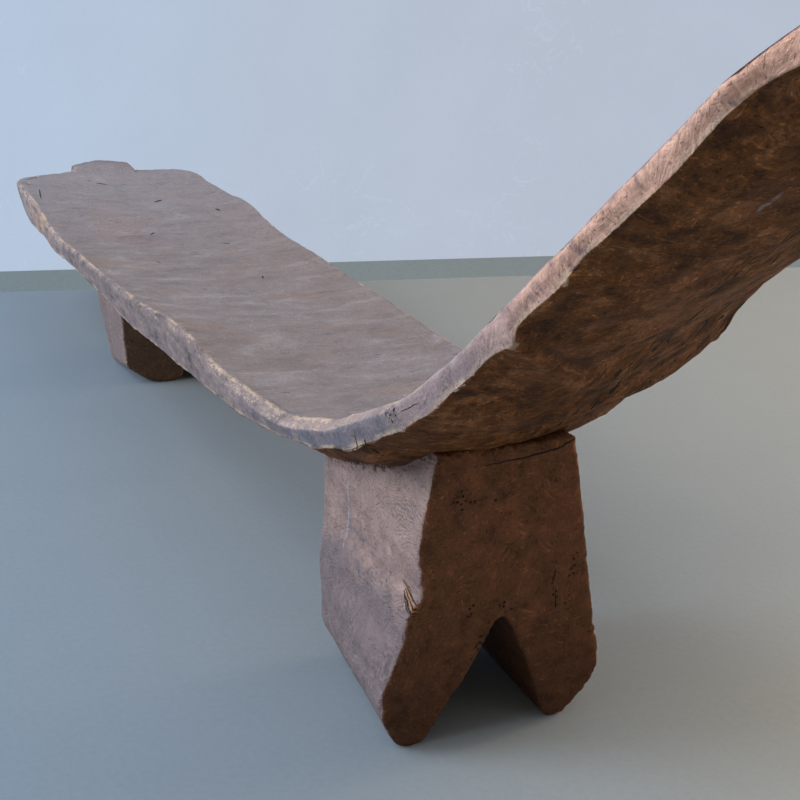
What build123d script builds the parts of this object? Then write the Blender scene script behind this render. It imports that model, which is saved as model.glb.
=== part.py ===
"""Carved log daybed: one long sleeping slab that bends up into a headrest, on two notched legs.

X runs along the bed, from the foot end to the raised head end; Z is up and the soles stand on
Z = 0.  The origin lies under the middle of the overall box.  Left and right are those of a person
who lies on the bed, so left is the -Y side.
All lengths are in millimetres and all angles in degrees.
"""

import os
from math import cos, hypot, radians, sin, tan

from build123d import *

# ---- overall --------------------------------------------------------------------------------
bed_length = 2220.0          # foot lug tip to headrest tip, along X
head_reach = 495.0           # head leg's front face to headrest tip, along X
leg_spacing = 1031.0         # head leg's front face to foot leg's front face
seam_offset = 20.0           # slab and headrest meet this far in front of the head leg

# ---- sleeping slab and headrest -------------------------------------------------------------
seat_height = 201.0          # upper edge of the level part
foot_rise = 24.0             # the slab sweeps up this much from the foot leg to the foot end
headrest_angle = 38.0        # slope of the headrest
bend_offset = 34.0           # where the two slopes cross, behind the head leg's front face
bend_softness = 172.0        # larger values round the bend more
foot_half_width = 174.0
headrest_half_width = 112.0
waist_run = 1590.0           # run over which the width changes
waist_start = 207.0          # where the narrowing ends, in front of the head leg's face
slab_edge = 31.0             # upright thickness of the rim of the level part
headrest_edge = 23.0         # upright thickness of the rim of the headrest
rim_slant = 5.0              # how far the lower arris lies inside the upper one
slab_dish = 9.0              # hollow of the upper face
slab_belly = 20.0            # bulge of the underside below the rim
headrest_belly = 30.0
twist_rise = 52.0            # how much higher the headrest's right rim lies than its left
twist_start = 70.0           # behind the head leg's front face
twist_run = 220.0

# ---- ends -----------------------------------------------------------------------------------
foot_bow = 45.0              # how far the foot end bows out between its corners
foot_corner = 75.0
shoulder_reach = 106.0       # length of the headrest's tapered end
headrest_tip_half_width = 58.0
shoulder_radius = 34.0

lug_length = 45.0
lug_half_width = 58.0
lug_rise = 13.0              # above the slab's rim
lug_thickness = 46.0
lug_corner = 15.0

# ---- legs -----------------------------------------------------------------------------------
head_leg_depth = 190.0       # along X, at the top
head_leg_foot_depth = 158.0  # along X, at the floor
head_leg_top = 59.0          # half widths, from the top down
head_leg_waist = 75.0
head_leg_waist_height = 130.0
head_leg_splay = 98.0
head_leg_splay_height = 50.0
head_sole_outer = 74.0
head_sole_inner = 50.0
head_notch_height = 104.0
head_toe_radius = 30.0

foot_leg_depth = 166.0
foot_leg_foot_depth = 138.0
foot_leg_top = 110.0
foot_leg_waist = 105.0
foot_leg_waist_height = 105.0
foot_leg_splay = 98.0
foot_leg_splay_height = 28.0
foot_sole_outer = 74.0
foot_sole_inner = 24.0
foot_notch_height = 74.0
foot_toe_radius = 22.0

notch_radius = 8.0
sole_radius = 8.0
toe_split = 9.0              # the toes begin this far below the top of the notch
top_embed = 15.0             # how far a leg's blank reaches into the slab before it is cut

head_face = bed_length / 2 - head_reach
foot_face = head_face - leg_spacing
seam = head_face + seam_offset
slab_end = -bed_length / 2 + lug_length
headrest_tip = bed_length / 2


def ease(t):
    """Smooth step from 0 to 1."""
    t = min(max(t, 0.0), 1.0)
    return t * t * (3 - 2 * t)


def blend(start, end, t):
    return start + (end - start) * ease(t)


def bend_share(x):
    """0 on the level part, 1 on the headrest."""
    return (x - head_face + bend_softness) / (2 * bend_softness)


def rim_height(x):
    """Upper arris of the left rim: two straight slopes joined by a hyperbola, and the foot sweep."""
    d = x - (head_face - bend_offset)
    bend = tan(radians(headrest_angle)) * (d + hypot(d, bend_softness)) / 2
    return seat_height + bend + foot_rise * ease((foot_face - x) / (foot_face - slab_end))


def right_rise(x):
    return twist_rise * ease((x - head_face + twist_start) / twist_run)


def half_width(x):
    return blend(headrest_half_width, foot_half_width, (head_face + waist_start - x) / waist_run)


def rim_thickness(x):
    return blend(slab_edge, headrest_edge, bend_share(x))


def belly(x):
    return blend(slab_belly, headrest_belly, bend_share(x))


def mid_height(x):
    """Upper face on the centre line."""
    return rim_height(x) + right_rise(x) / 2 - slab_dish


def low_height(x):
    """Underside on the centre line."""
    return rim_height(x) + right_rise(x) / 2 - rim_thickness(x) - belly(x)


def cross_section(x):
    """Crescent across the log: hollow upper face, slanted rims, bulging underside."""
    width = half_width(x)
    left = rim_height(x)
    right = left + right_rise(x)
    rim = rim_thickness(x)
    low_width = width - rim_slant
    with BuildSketch(Plane.YZ.offset(x)) as section:
        with BuildLine():
            ThreePointArc((-width, left), (0, mid_height(x)), (width, right))
            Line((width, right), (low_width, right - rim))
            ThreePointArc((low_width, right - rim), (0, low_height(x)), (-low_width, left - rim))
            Line((-low_width, left - rim), (-width, left))
        make_face()
    return section.sketch


def stations(start, end, count):
    return [start + (end - start) * i / (count - 1) for i in range(count)]


bend_start = head_face - 2 * bend_softness
bend_end = head_face + 2 * bend_softness
slab_stations = stations(slab_end - foot_bow, bend_start, 7)[:-1] + stations(bend_start, seam, 7)
headrest_stations = stations(seam, bend_end, 6) + [headrest_tip + shoulder_reach / 4]
slab_sections = [cross_section(x) for x in slab_stations]
headrest_sections = [cross_section(x) for x in headrest_stations]
clear_height = 2 * rim_height(headrest_tip)
clear_width = 2 * foot_half_width

# ---- sleeping slab --------------------------------------------------------------------------
with BuildPart() as bed_slab:
    loft(slab_sections)
    with BuildSketch():
        with BuildLine():
            corner_x = slab_end + foot_bow
            ThreePointArc((corner_x, foot_half_width), (slab_end, 0), (corner_x, -foot_half_width))
            Line((corner_x, -foot_half_width), (seam, -clear_width))
            Line((seam, -clear_width), (seam, clear_width))
            Line((seam, clear_width), (corner_x, foot_half_width))
        slab_outline = make_face()
        fillet(slab_outline.vertices().group_by(Axis.X)[0], radius=foot_corner)
    extrude(amount=clear_height, mode=Mode.INTERSECT)
bed_slab.part.label = "bed_slab"

# ---- headrest -------------------------------------------------------------------------------
slope = radians(headrest_angle)
tip_low = low_height(headrest_tip)
tip_plane = Plane(origin=(headrest_tip, 0, tip_low), x_dir=(0, 1, 0), z_dir=(cos(slope), 0, sin(slope)))
with BuildPart() as headrest:
    loft(headrest_sections)
    with BuildSketch():
        with BuildLine():
            shoulder_x = headrest_tip - shoulder_reach
            Polyline(
                (seam, -clear_width),
                (shoulder_x, -clear_width),
                (shoulder_x, -headrest_half_width),
                (headrest_tip, -headrest_tip_half_width),
                (headrest_tip, headrest_tip_half_width),
                (shoulder_x, headrest_half_width),
                (shoulder_x, clear_width),
                (seam, clear_width),
                close=True,
            )
        headrest_outline = make_face()
        fillet(headrest_outline.vertices().group_by(Axis.X)[-1], radius=shoulder_radius)
    extrude(amount=clear_height, mode=Mode.INTERSECT)
    split(bisect_by=tip_plane, keep=Keep.BOTTOM)
headrest.part.label = "headrest"

# ---- end lug --------------------------------------------------------------------------------
lug_top = rim_height(slab_end) + lug_rise
with BuildPart() as end_lug:
    with BuildSketch(Plane.XY.offset(lug_top - lug_thickness)):
        with Locations((slab_end, 0)):
            Rectangle(2 * lug_length, 2 * lug_half_width)
    extrude(amount=lug_thickness)
    fillet(end_lug.edges().filter_by(Axis.Z).group_by(Axis.X)[0], radius=lug_corner)
    fillet(end_lug.edges().group_by(Axis.Z)[-1].group_by(Axis.X)[0], radius=lug_corner / 2)
    with BuildSketch():
        with BuildLine():
            ThreePointArc((corner_x, foot_half_width), (slab_end, 0), (corner_x, -foot_half_width))
            Line((corner_x, -foot_half_width), (seam, -foot_half_width))
            Line((seam, -foot_half_width), (seam, foot_half_width))
            Line((seam, foot_half_width), (corner_x, foot_half_width))
        make_face()
    extrude(amount=clear_height, mode=Mode.SUBTRACT)
end_lug.part.label = "end_lug"


def side_profile(face, depth, foot_depth):
    """A leg seen from the side: its back leans, and its top reaches into the slab."""
    back = face - depth
    with BuildPart() as blank:
        with BuildSketch(Plane.XZ):
            with BuildLine():
                Polyline(
                    (face, 0),
                    (face, mid_height(face) - top_embed),
                    (back, mid_height(back) - top_embed),
                    (face - foot_depth, 0),
                    close=True,
                )
            make_face()
        extrude(amount=foot_half_width, both=True)
    return blank.part


def leg_blank(face, depth, foot_depth, right_side, notch_height, toe_radius):
    """A whole leg.  right_side holds the corners of its right half, from the sole to the top."""
    left_side = [(-y, z) for y, z in reversed(right_side)]
    splay_y, splay_z = right_side[2]
    with BuildPart() as blank:
        with BuildSketch(Plane.YZ.offset(face)) as outline:
            with BuildLine():
                Polyline((0, notch_height), *right_side, *left_side, close=True)
            make_face()
            corners = outline.vertices()
            notch = corners.sort_by_distance((face, 0, notch_height))[0]
            toes = [corners.sort_by_distance((face, side * splay_y, splay_z))[0] for side in (-1, 1)]
            fillet(notch, radius=notch_radius)
            fillet(toes, radius=toe_radius)
        extrude(amount=-depth)
        fillet(blank.edges().filter_by(Axis.X).group_by(Axis.Z)[0], radius=sole_radius)
        add(side_profile(face, depth, foot_depth), mode=Mode.INTERSECT)
        add(bed_slab.part, mode=Mode.SUBTRACT)
    return blank.part


# ---- head leg and its toes ------------------------------------------------------------------
head_right_side = [
    (head_sole_inner, 0),
    (head_sole_outer, 0),
    (head_leg_splay, head_leg_splay_height),
    (head_leg_waist, head_leg_waist_height),
    (head_leg_top, seat_height),
    (head_leg_top, clear_height),
]
head_blank = leg_blank(
    head_face, head_leg_depth, head_leg_foot_depth, head_right_side, head_notch_height, head_toe_radius
)
head_split = Plane.XY.offset(head_notch_height - toe_split)

with BuildPart() as head_leg:
    add(head_blank)
    split(bisect_by=head_split, keep=Keep.TOP)
head_leg.part.label = "head_leg"

with BuildPart() as head_toe_left:
    add(head_blank)
    split(bisect_by=head_split, keep=Keep.BOTTOM)
    split(bisect_by=Plane.XZ, keep=Keep.TOP)
head_toe_left.part.label = "head_toe_left"

with BuildPart() as head_toe_right:
    add(head_blank)
    split(bisect_by=head_split, keep=Keep.BOTTOM)
    split(bisect_by=Plane.XZ, keep=Keep.BOTTOM)
head_toe_right.part.label = "head_toe_right"

# ---- foot leg and its toes ------------------------------------------------------------------
foot_right_side = [
    (foot_sole_inner, 0),
    (foot_sole_outer, 0),
    (foot_leg_splay, foot_leg_splay_height),
    (foot_leg_waist, foot_leg_waist_height),
    (foot_leg_top, seat_height),
    (foot_leg_top, clear_height),
]
foot_blank = leg_blank(
    foot_face, foot_leg_depth, foot_leg_foot_depth, foot_right_side, foot_notch_height, foot_toe_radius
)
foot_split = Plane.XY.offset(foot_notch_height - toe_split)

with BuildPart() as foot_leg:
    add(foot_blank)
    split(bisect_by=foot_split, keep=Keep.TOP)
foot_leg.part.label = "foot_leg"

with BuildPart() as foot_toe_left:
    add(foot_blank)
    split(bisect_by=foot_split, keep=Keep.BOTTOM)
    split(bisect_by=Plane.XZ, keep=Keep.TOP)
foot_toe_left.part.label = "foot_toe_left"

with BuildPart() as foot_toe_right:
    add(foot_blank)
    split(bisect_by=foot_split, keep=Keep.BOTTOM)
    split(bisect_by=Plane.XZ, keep=Keep.BOTTOM)
foot_toe_right.part.label = "foot_toe_right"

# ---- write one STEP file per piece ----------------------------------------------------------
os.makedirs("parts", exist_ok=True)
export_step(bed_slab.part, "parts/bed_slab.step")
export_step(headrest.part, "parts/headrest.step")
export_step(end_lug.part, "parts/end_lug.step")
export_step(head_leg.part, "parts/head_leg.step")
export_step(head_toe_left.part, "parts/head_toe_left.step")
export_step(head_toe_right.part, "parts/head_toe_right.step")
export_step(foot_leg.part, "parts/foot_leg.step")
export_step(foot_toe_left.part, "parts/foot_toe_left.step")
export_step(foot_toe_right.part, "parts/foot_toe_right.step")
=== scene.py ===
"""Carved log daybed: the worn, hand-hewn surfaces of the bed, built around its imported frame.

X runs along the bed towards the raised headrest, left is the -Y side, and the soles stand on Z = 0.
Lengths are in metres.
"""

from math import cos, pi, radians, sin, tan

import bpy
import numpy as np
from mathutils import Matrix, Vector


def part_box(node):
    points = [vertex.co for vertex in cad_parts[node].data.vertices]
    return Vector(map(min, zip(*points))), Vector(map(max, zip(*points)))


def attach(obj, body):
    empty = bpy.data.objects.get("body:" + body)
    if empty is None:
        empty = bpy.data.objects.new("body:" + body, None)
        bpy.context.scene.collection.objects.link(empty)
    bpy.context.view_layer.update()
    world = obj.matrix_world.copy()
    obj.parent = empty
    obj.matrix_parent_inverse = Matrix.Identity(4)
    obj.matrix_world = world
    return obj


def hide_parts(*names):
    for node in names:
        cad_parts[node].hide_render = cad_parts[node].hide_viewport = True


bl_info = {
    "name": "Carved Log Daybed",
    "version": (1, 0, 0),
    "blender": (4, 5, 0),
    "location": "3D View > Sidebar > Daybed",
    "description": "Hewn surfaces and weathered wood for a one-log daybed",
    "category": "Object",
}

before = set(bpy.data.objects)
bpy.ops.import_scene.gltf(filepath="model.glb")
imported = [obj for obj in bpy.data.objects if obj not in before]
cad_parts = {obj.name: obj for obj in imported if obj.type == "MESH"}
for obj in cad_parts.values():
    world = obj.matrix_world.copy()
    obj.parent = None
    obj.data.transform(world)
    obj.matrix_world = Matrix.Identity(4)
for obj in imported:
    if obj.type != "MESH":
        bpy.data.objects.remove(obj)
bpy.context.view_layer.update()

BODY = "root"

slab_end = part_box("bed_slab")[0].x
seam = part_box("bed_slab")[1].x
slab_half_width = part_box("bed_slab")[1].y
headrest_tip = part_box("headrest")[1].x
head_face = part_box("head_leg")[1].x
foot_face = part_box("foot_leg")[1].x
lug_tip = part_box("end_lug")[0].x
lug_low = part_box("end_lug")[0].z
lug_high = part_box("end_lug")[1].z
lug_half_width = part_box("end_lug")[1].y


def length(label, text, default):
    return bpy.props.FloatProperty(
        name=label, description=text, default=default, precision=4, unit="LENGTH"
    )


def colour(label, text, default):
    return bpy.props.FloatVectorProperty(
        name=label, description=text, default=default, size=3, min=0, max=1, subtype="COLOR"
    )


def angle(label, text, degrees):
    return bpy.props.FloatProperty(name=label, description=text, default=radians(degrees), subtype="ANGLE")


class LogSizes(bpy.types.PropertyGroup):
    """Sizes of the sleeping slab and the headrest."""

    seat_height: length("Seat height", "Upper edge of the level part", 0.201)
    foot_rise: length("Foot rise", "Upward sweep of the foot end", 0.024)
    headrest_slope: angle("Headrest slope", "Slope of the raised end", 38)
    bend_offset: length("Bend offset", "Where the two slopes cross, behind the head leg's face", 0.034)
    bend_softness: length("Bend softness", "Larger values round the bend more", 0.172)
    headrest_half_width: length("Headrest half width", "Half width of the raised end", 0.112)
    waist_run: length("Waist run", "Run over which the width changes", 1.590)
    waist_start: length("Waist start", "Where the narrowing ends, beyond the head leg's face", 0.207)
    slab_edge: length("Slab edge", "Upright thickness of the rim of the level part", 0.031)
    headrest_edge: length("Headrest edge", "Upright thickness of the rim of the headrest", 0.023)
    slab_dish: length("Dish", "Hollow of the upper face", 0.009)
    slab_belly: length("Slab belly", "Bulge of the underside", 0.020)
    headrest_belly: length("Headrest belly", "Bulge of the headrest's underside", 0.030)
    twist_rise: length("Twist", "How much higher the headrest's right rim lies", 0.052)
    twist_start: length("Twist start", "Behind the head leg's face", 0.070)
    twist_run: length("Twist run", "Run over which the right rim rises", 0.220)
    shoulder_reach: length("Shoulder reach", "Length of the headrest's tapered end", 0.106)
    tip_half_width: length("Tip half width", "Half width of the headrest's end", 0.058)
    ridge_place: length("Ridge place", "Start of the underside's ridge, beyond the head leg's face", 0.211)
    ridge_drop: length("Ridge drop", "Height of that ridge", 0.008)
    arris_inset: length("Arris inset", "Width of the worn border inside the rim", 0.016)
    chamfer: length("Chamfer", "Width of the worn upper arris", 0.0035)
    bend_chamfer: length("Bend chamfer", "Width of the worn upper arris along the bend", 0.010)
    head_chamfer: length("Headrest chamfer", "Width of the worn upper arris of the headrest", 0.002)
    corner_chamfer: length("Corner chamfer", "Extra width of it round the left foot corner", 0.013)
    leg_swell: length("Leg swell", "Swell of the underside over the head leg's left face", 0.0075)


class MarkSizes(bpy.types.PropertyGroup):
    """Marks that the adze and long use have left."""

    facet_size: length("Facet size", "Width of one adze cut", 0.034)
    facet_depth: length("Facet depth", "Depth of one adze cut", 0.0022)
    ripple_size: length("Ripple size", "Size of small unevenness", 0.012)
    ripple_depth: length("Ripple depth", "Height of small unevenness", 0.0009)
    swell_size: length("Swell size", "Size of the slow swells of the surface", 0.16)
    swell_depth: length("Swell depth", "Height of the slow swells", 0.004)
    chip_size: length("Chip size", "Size of the chips along an arris", 0.009)
    chip_depth: length("Chip depth", "Depth of the chips", 0.0030)


class WoodColours(bpy.types.PropertyGroup):
    """Colours of the bare and the weathered wood. The lighter upper faces, rims and leg sides against the
    darker, warmer undersides and end grain are partly the wood's own colour and partly painted light and
    shade.
    """

    seat_dark: colour("Seat, dark", "Dark flecks of the upper face", (0.172, 0.142, 0.146))
    seat: colour("Seat", "Greyed upper face", (0.214, 0.180, 0.186))
    seat_light: colour("Seat, light", "Bleached streaks of the upper face", (0.272, 0.238, 0.252))
    seat_warm: colour("Seat, warm", "Rubbed brown patches of the upper face", (0.236, 0.168, 0.148))
    rim_dark: colour("Rim, dark", "Dark mauve flecks of the rim", (0.115, 0.092, 0.098))
    rim: colour("Rim", "Mauve patina of the rim", (0.230, 0.176, 0.174))
    rim_light: colour("Rim, light", "Pinkish patches of the rim", (0.350, 0.256, 0.230))
    rim_bend: colour("Rim, bend", "Bluish patina along the bend", (0.142, 0.134, 0.168))
    rim_lilac: colour("Rim, lilac", "Pinkish lilac just beyond the bend", (0.350, 0.250, 0.250))
    # The headrest's rim colour is painted much lighter than the rest of the rim: painted light over its
    # pinkish brown.
    rim_head_painted_light: colour("Rim, headrest", "Pinkish brown of the headrest's rim", (0.690, 0.392, 0.290))
    rim_head_dark: colour("Rim, headrest, dark", "Tool marks of the headrest's rim", (0.320, 0.190, 0.178))
    face_far: colour("End grain, foot leg", "Dull end grain of the foot leg", (0.155, 0.100, 0.068))
    seat_blue: colour("Seat, bluish", "Bluish foot end of the upper face", (0.292, 0.274, 0.318))
    head_band: colour("Rim, headrest, band", "Purplish upper band of the rim", (0.300, 0.200, 0.205))
    # This colour also paints shade on the lower part of the legs' sides.
    side_dark_and_low_shade: colour("Leg side, dark", "Bluish patches of the legs' sides", (0.160, 0.126, 0.138))
    side: colour("Leg side", "Mauve weathered sides of the legs", (0.268, 0.180, 0.165))
    side_light: colour("Leg side, light", "Bleached fibres of the sides", (0.350, 0.240, 0.210))
    under_dark: colour("Underside, dark", "Deep brown patches", (0.070, 0.025, 0.007))
    under: colour("Underside", "Brown wood out of the sun", (0.160, 0.056, 0.013))
    under_light: colour("Underside, light", "Lighter fibres of the underside", (0.300, 0.118, 0.042))
    # On the slab this colour paints a highlight along the ridge across the headrest's underside; on the head
    # leg it is pale splinter wood.
    ridge_highlight_and_splinter: colour("Underside, ridge", "Rubbed ridge of the underside", (0.380, 0.175, 0.070))
    face_dark: colour("End grain, dark", "Dark patches of the end grain", (0.088, 0.037, 0.018))
    face: colour("End grain", "Faces across the grain", (0.142, 0.060, 0.029))
    face_red: colour("End grain, red", "Reddish patches of the end grain", (0.198, 0.077, 0.038))
    worn: colour("Worn arris", "Pale wood where edges are rubbed", (0.560, 0.405, 0.290))
    orange: colour("Worn corner", "Orange wood at the rubbed foot corner", (0.420, 0.240, 0.140))
    pale: colour("Pale marks", "Chalky streaks and chips", (0.400, 0.370, 0.400))
    dirt: colour("Dirt", "Dirt and cracks", (0.022, 0.013, 0.009))


# ---- helpers for shapes ---------------------------------------------------------------------

# bulges that count as a full arris or hollow, and the rounds of smoothing they are measured from
ARRIS_BULGE = 0.0011
ARRIS_ROUNDS = 3
HOLLOW_BULGE = 0.0012
HOLLOW_ROUNDS = 12


def ease(t):
    """Smooth step from 0 to 1."""
    t = np.clip(t, 0.0, 1.0)
    return t * t * (3 - 2 * t)


def blend(start, end, t):
    return start + (end - start) * ease(t)


def swells(x, places):
    """Smooth bumps and hollows along the log, each (centre, reach, rise)."""
    total = 0 * x
    for centre, reach, rise in places:
        t = np.clip(1 - ((x - centre) / reach) ** 2, 0, 1)
        total += rise * t * t
    return total


def rounded(corners, steps=10):
    """Closed outline through (u, v, radius) corners, each rounded in the same number of steps."""
    points = []
    count = len(corners)
    for i in range(count):
        before, here, after = (Vector(corners[(i + k) % count][:2]) for k in (-1, 0, 1))
        radius = corners[i][2]
        back = before - here
        ahead = after - here
        if radius == 0:
            points.append(here)
            continue
        turn = pi - back.angle(ahead)
        reach = min(radius * tan(turn / 2), 0.48 * back.length, 0.48 * ahead.length)
        start = here + back.normalized() * reach
        end = here + ahead.normalized() * reach
        for step in range(steps + 1):
            t = step / steps
            points.append(start * (1 - t) ** 2 + here * 2 * t * (1 - t) + end * t * t)
    return np.array([tuple(point) for point in points])


def new_mesh(name, points, faces, attributes=None, normals=None):
    mesh = bpy.data.meshes.new(name)
    mesh.from_pydata(points.tolist(), [], faces)
    mesh.update()
    for key, values in (attributes or {}).items():
        set_attribute(mesh, key, values)
    mesh.shade_smooth()
    if normals is not None:
        mesh.normals_split_custom_set_from_vertices(normals.tolist())
    return mesh


def set_attribute(mesh, key, values):
    """Stores one number, or one vector, per point."""
    values = np.ascontiguousarray(values, dtype=np.float32)
    if key not in mesh.attributes:
        mesh.attributes.new(key, "FLOAT" if values.ndim == 1 else "FLOAT_VECTOR", "POINT")
    field = "value" if values.ndim == 1 else "vector"
    mesh.attributes[key].data.foreach_set(field, values.ravel())


def get_attribute(mesh, key):
    values = np.zeros(len(mesh.vertices), np.float32)
    if key in mesh.attributes:
        mesh.attributes[key].data.foreach_get("value", values)
    return values


def rows_of(items, key, width, kind=float):
    """One row of numbers for each item of a mesh."""
    values = np.zeros(len(items) * width, kind)
    items.foreach_get(key, values)
    return values.reshape(-1, width)


def points_of(mesh):
    return rows_of(mesh.vertices, "co", 3)


def normals_of(mesh):
    return rows_of(mesh.vertex_normals, "vector", 3)


def edges_of(mesh):
    return rows_of(mesh.edges, "vertices", 2, np.int32)


def move_points(mesh, points):
    mesh.vertices.foreach_set("co", points.ravel())
    mesh.update()
    mesh.shade_smooth()


def relax(values, edges, rounds):
    """Average of the neighbours, taken again and again."""
    first = np.concatenate([edges[:, 0], edges[:, 1]])
    second = np.concatenate([edges[:, 1], edges[:, 0]])
    count = np.maximum(np.bincount(first, minlength=len(values)), 1)
    for _ in range(rounds):
        values = np.stack(
            [np.bincount(first, column[second], len(column)) / count for column in values.T], axis=1
        )
    return values


def bulge_of(mesh, rounds):
    """How far each point stands out from its smoothed surroundings, along its normal."""
    points = points_of(mesh)
    return np.sum((points - relax(points, edges_of(mesh), rounds)) * normals_of(mesh), axis=1)


def mark_edges(mesh):
    """Writes where the surface is an arris and where it is a hollow."""
    set_attribute(mesh, "arris", np.clip(bulge_of(mesh, ARRIS_ROUNDS) / ARRIS_BULGE, 0, 1))
    set_attribute(mesh, "hollow", np.clip(-bulge_of(mesh, HOLLOW_ROUNDS) / HOLLOW_BULGE, 0, 1))


def new_object(name, mesh):
    piece = bpy.data.objects.new(name, mesh)
    bpy.context.scene.collection.objects.link(piece)
    return piece


def evaluated_mesh(piece, name):
    """A plain mesh of the piece with its modifiers applied."""
    depsgraph = bpy.context.evaluated_depsgraph_get()
    final = piece.evaluated_get(depsgraph)
    mesh = bpy.data.meshes.new_from_object(final, preserve_all_data_layers=True, depsgraph=depsgraph)
    mesh.name = name
    return mesh


def finish_piece(piece, *nodes):
    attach(piece, BODY)
    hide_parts(*nodes)


# ---- wiring of nodes ------------------------------------------------------------------------


class Wiring:
    """Adds nodes to one tree and joins them."""

    def __init__(self, tree):
        self.tree = tree
        self.column = 0

    def add(self, kind, settings=None, feeds=None):
        node = self.tree.nodes.new(kind)
        node.location = (self.column, 0)
        self.column += 180
        for key, value in (settings or {}).items():
            setattr(node, key, value)
        for key, value in (feeds or {}).items():
            self.feed(node.inputs[key], value)
        return node

    def feed(self, socket, value):
        if isinstance(value, bpy.types.NodeSocket):
            self.tree.links.new(value, socket)
        else:
            socket.default_value = value

    def math(self, operation, first, second=0.0, third=0.0):
        feeds = {0: first, 1: second, 2: third}
        return self.add("ShaderNodeMath", {"operation": operation}, feeds).outputs[0]

    def times(self, first, second):
        return self.math("MULTIPLY", first, second)

    def plus(self, first, second):
        return self.math("ADD", first, second)

    def minus(self, first, second):
        return self.math("SUBTRACT", first, second)

    def over(self, first, second):
        return self.math("DIVIDE", first, second)

    def larger(self, first, second):
        return self.math("MAXIMUM", first, second)

    def times_plus(self, field, factor, added):
        return self.math("MULTIPLY_ADD", field, factor, added)

    def centred(self, field):
        """A field between 0 and 1, moved to lie about 0."""
        return self.math("SUBTRACT", field, 0.5)

    def vary(self, shade, field, amount):
        """Shade that goes up and down with a field between 0 and 1."""
        return self.times_plus(self.centred(field), amount, shade)

    def vector(self, operation, first, second=(0, 0, 0)):
        node = self.add("ShaderNodeVectorMath", {"operation": operation}, {0: first, 1: second})
        return node.outputs["Value" if operation in ("LENGTH", "DOT_PRODUCT") else "Vector"]

    def stretch(self, vector, factor):
        node = self.add("ShaderNodeVectorMath", {"operation": "SCALE"}, {0: vector, "Scale": factor})
        return node.outputs["Vector"]

    def drawn_out(self, place, share):
        """Places that make a pattern longer along X, by one over share."""
        return self.vector("MULTIPLY", place, (share, 1.0, 1.0))

    def combine(self, x, y=0.0, z=0.0):
        return self.add("ShaderNodeCombineXYZ", None, {0: x, 1: y, 2: z}).outputs[0]

    def split(self, vector):
        return self.add("ShaderNodeSeparateXYZ", None, {0: vector}).outputs

    def step(self, value, low, high, start=0.0, end=1.0):
        """Smooth step of value from start at low to end at high."""
        feeds = {"Value": value, "From Min": low, "From Max": high, "To Min": start, "To Max": end}
        return self.add("ShaderNodeMapRange", {"interpolation_type": "SMOOTHSTEP"}, feeds).outputs["Result"]

    def noise(self, vector, scale, detail=2.0, roughness=0.5, distortion=0.0, output="Fac"):
        feeds = {
            "Vector": vector,
            "Scale": scale,
            "Detail": detail,
            "Roughness": roughness,
            "Distortion": distortion,
        }
        return self.add("ShaderNodeTexNoise", None, feeds).outputs[output]

    def cells(self, vector, scale, output="Distance"):
        return self.add("ShaderNodeTexVoronoi", None, {"Vector": vector, "Scale": scale}).outputs[output]

    def sway(self, place, scale, reach, detail=3.0, roughness=0.6):
        """Places moved about by noise, by half of reach each way."""
        noise = self.noise(place, scale, detail, roughness, output="Color")
        noise = self.vector("SUBTRACT", noise, (0.5, 0.5, 0.5))
        return self.vector("ADD", place, self.stretch(noise, reach))

    def mix(self, factor, first, second, blend_type="MIX"):
        """Second colour over the first; colours are sockets or property values."""
        settings = {"data_type": "RGBA", "blend_type": blend_type}
        feeds = {0: factor}
        for socket, tone in ((6, first), (7, second)):
            feeds[socket] = tone if isinstance(tone, bpy.types.NodeSocket) else (*tone, 1.0)
        return self.add("ShaderNodeMix", settings, feeds).outputs[2]

    def shade(self, tone, level):
        """Colour times a number."""
        grey = self.add("ShaderNodeCombineColor", None, {0: level, 1: level, 2: level}).outputs[0]
        return self.mix(1.0, tone, grey, "MULTIPLY")


def group_tree(name, kind, inputs, outputs):
    """An empty node group with named sockets, each (name, type, default)."""
    tree = bpy.data.node_groups.new(name, kind)
    for label, socket_type, default in inputs:
        socket = tree.interface.new_socket(name=label, in_out="INPUT", socket_type=socket_type)
        if default is not None:
            socket.default_value = default
    for label, socket_type in outputs:
        tree.interface.new_socket(name=label, in_out="OUTPUT", socket_type=socket_type)
    wires = Wiring(tree)
    source = wires.add("NodeGroupInput")
    sink = wires.add("NodeGroupOutput")
    return tree, wires, source.outputs, sink.inputs


FLOAT = "NodeSocketFloat"
VECTOR = "NodeSocketVector"
GEOMETRY = "NodeSocketGeometry"


# ---- carving marks --------------------------------------------------------------------------

MARK_KINDS = ("Facet", "Ripple", "Swell", "Chip")


def mark_values(marks, seed):
    """What the carving tree's inputs are set to, by their names."""
    labels = [kind + part for kind in MARK_KINDS for part in (" Size", " Depth")]
    values = {label: getattr(marks, label.lower().replace(" ", "_")) for label in labels}
    return {**values, "Seed": seed}


def named_float(wires, key):
    node = wires.add("GeometryNodeInputNamedAttribute", {"data_type": "FLOAT"}, {"Name": key})
    return node.outputs["Attribute"]


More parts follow.
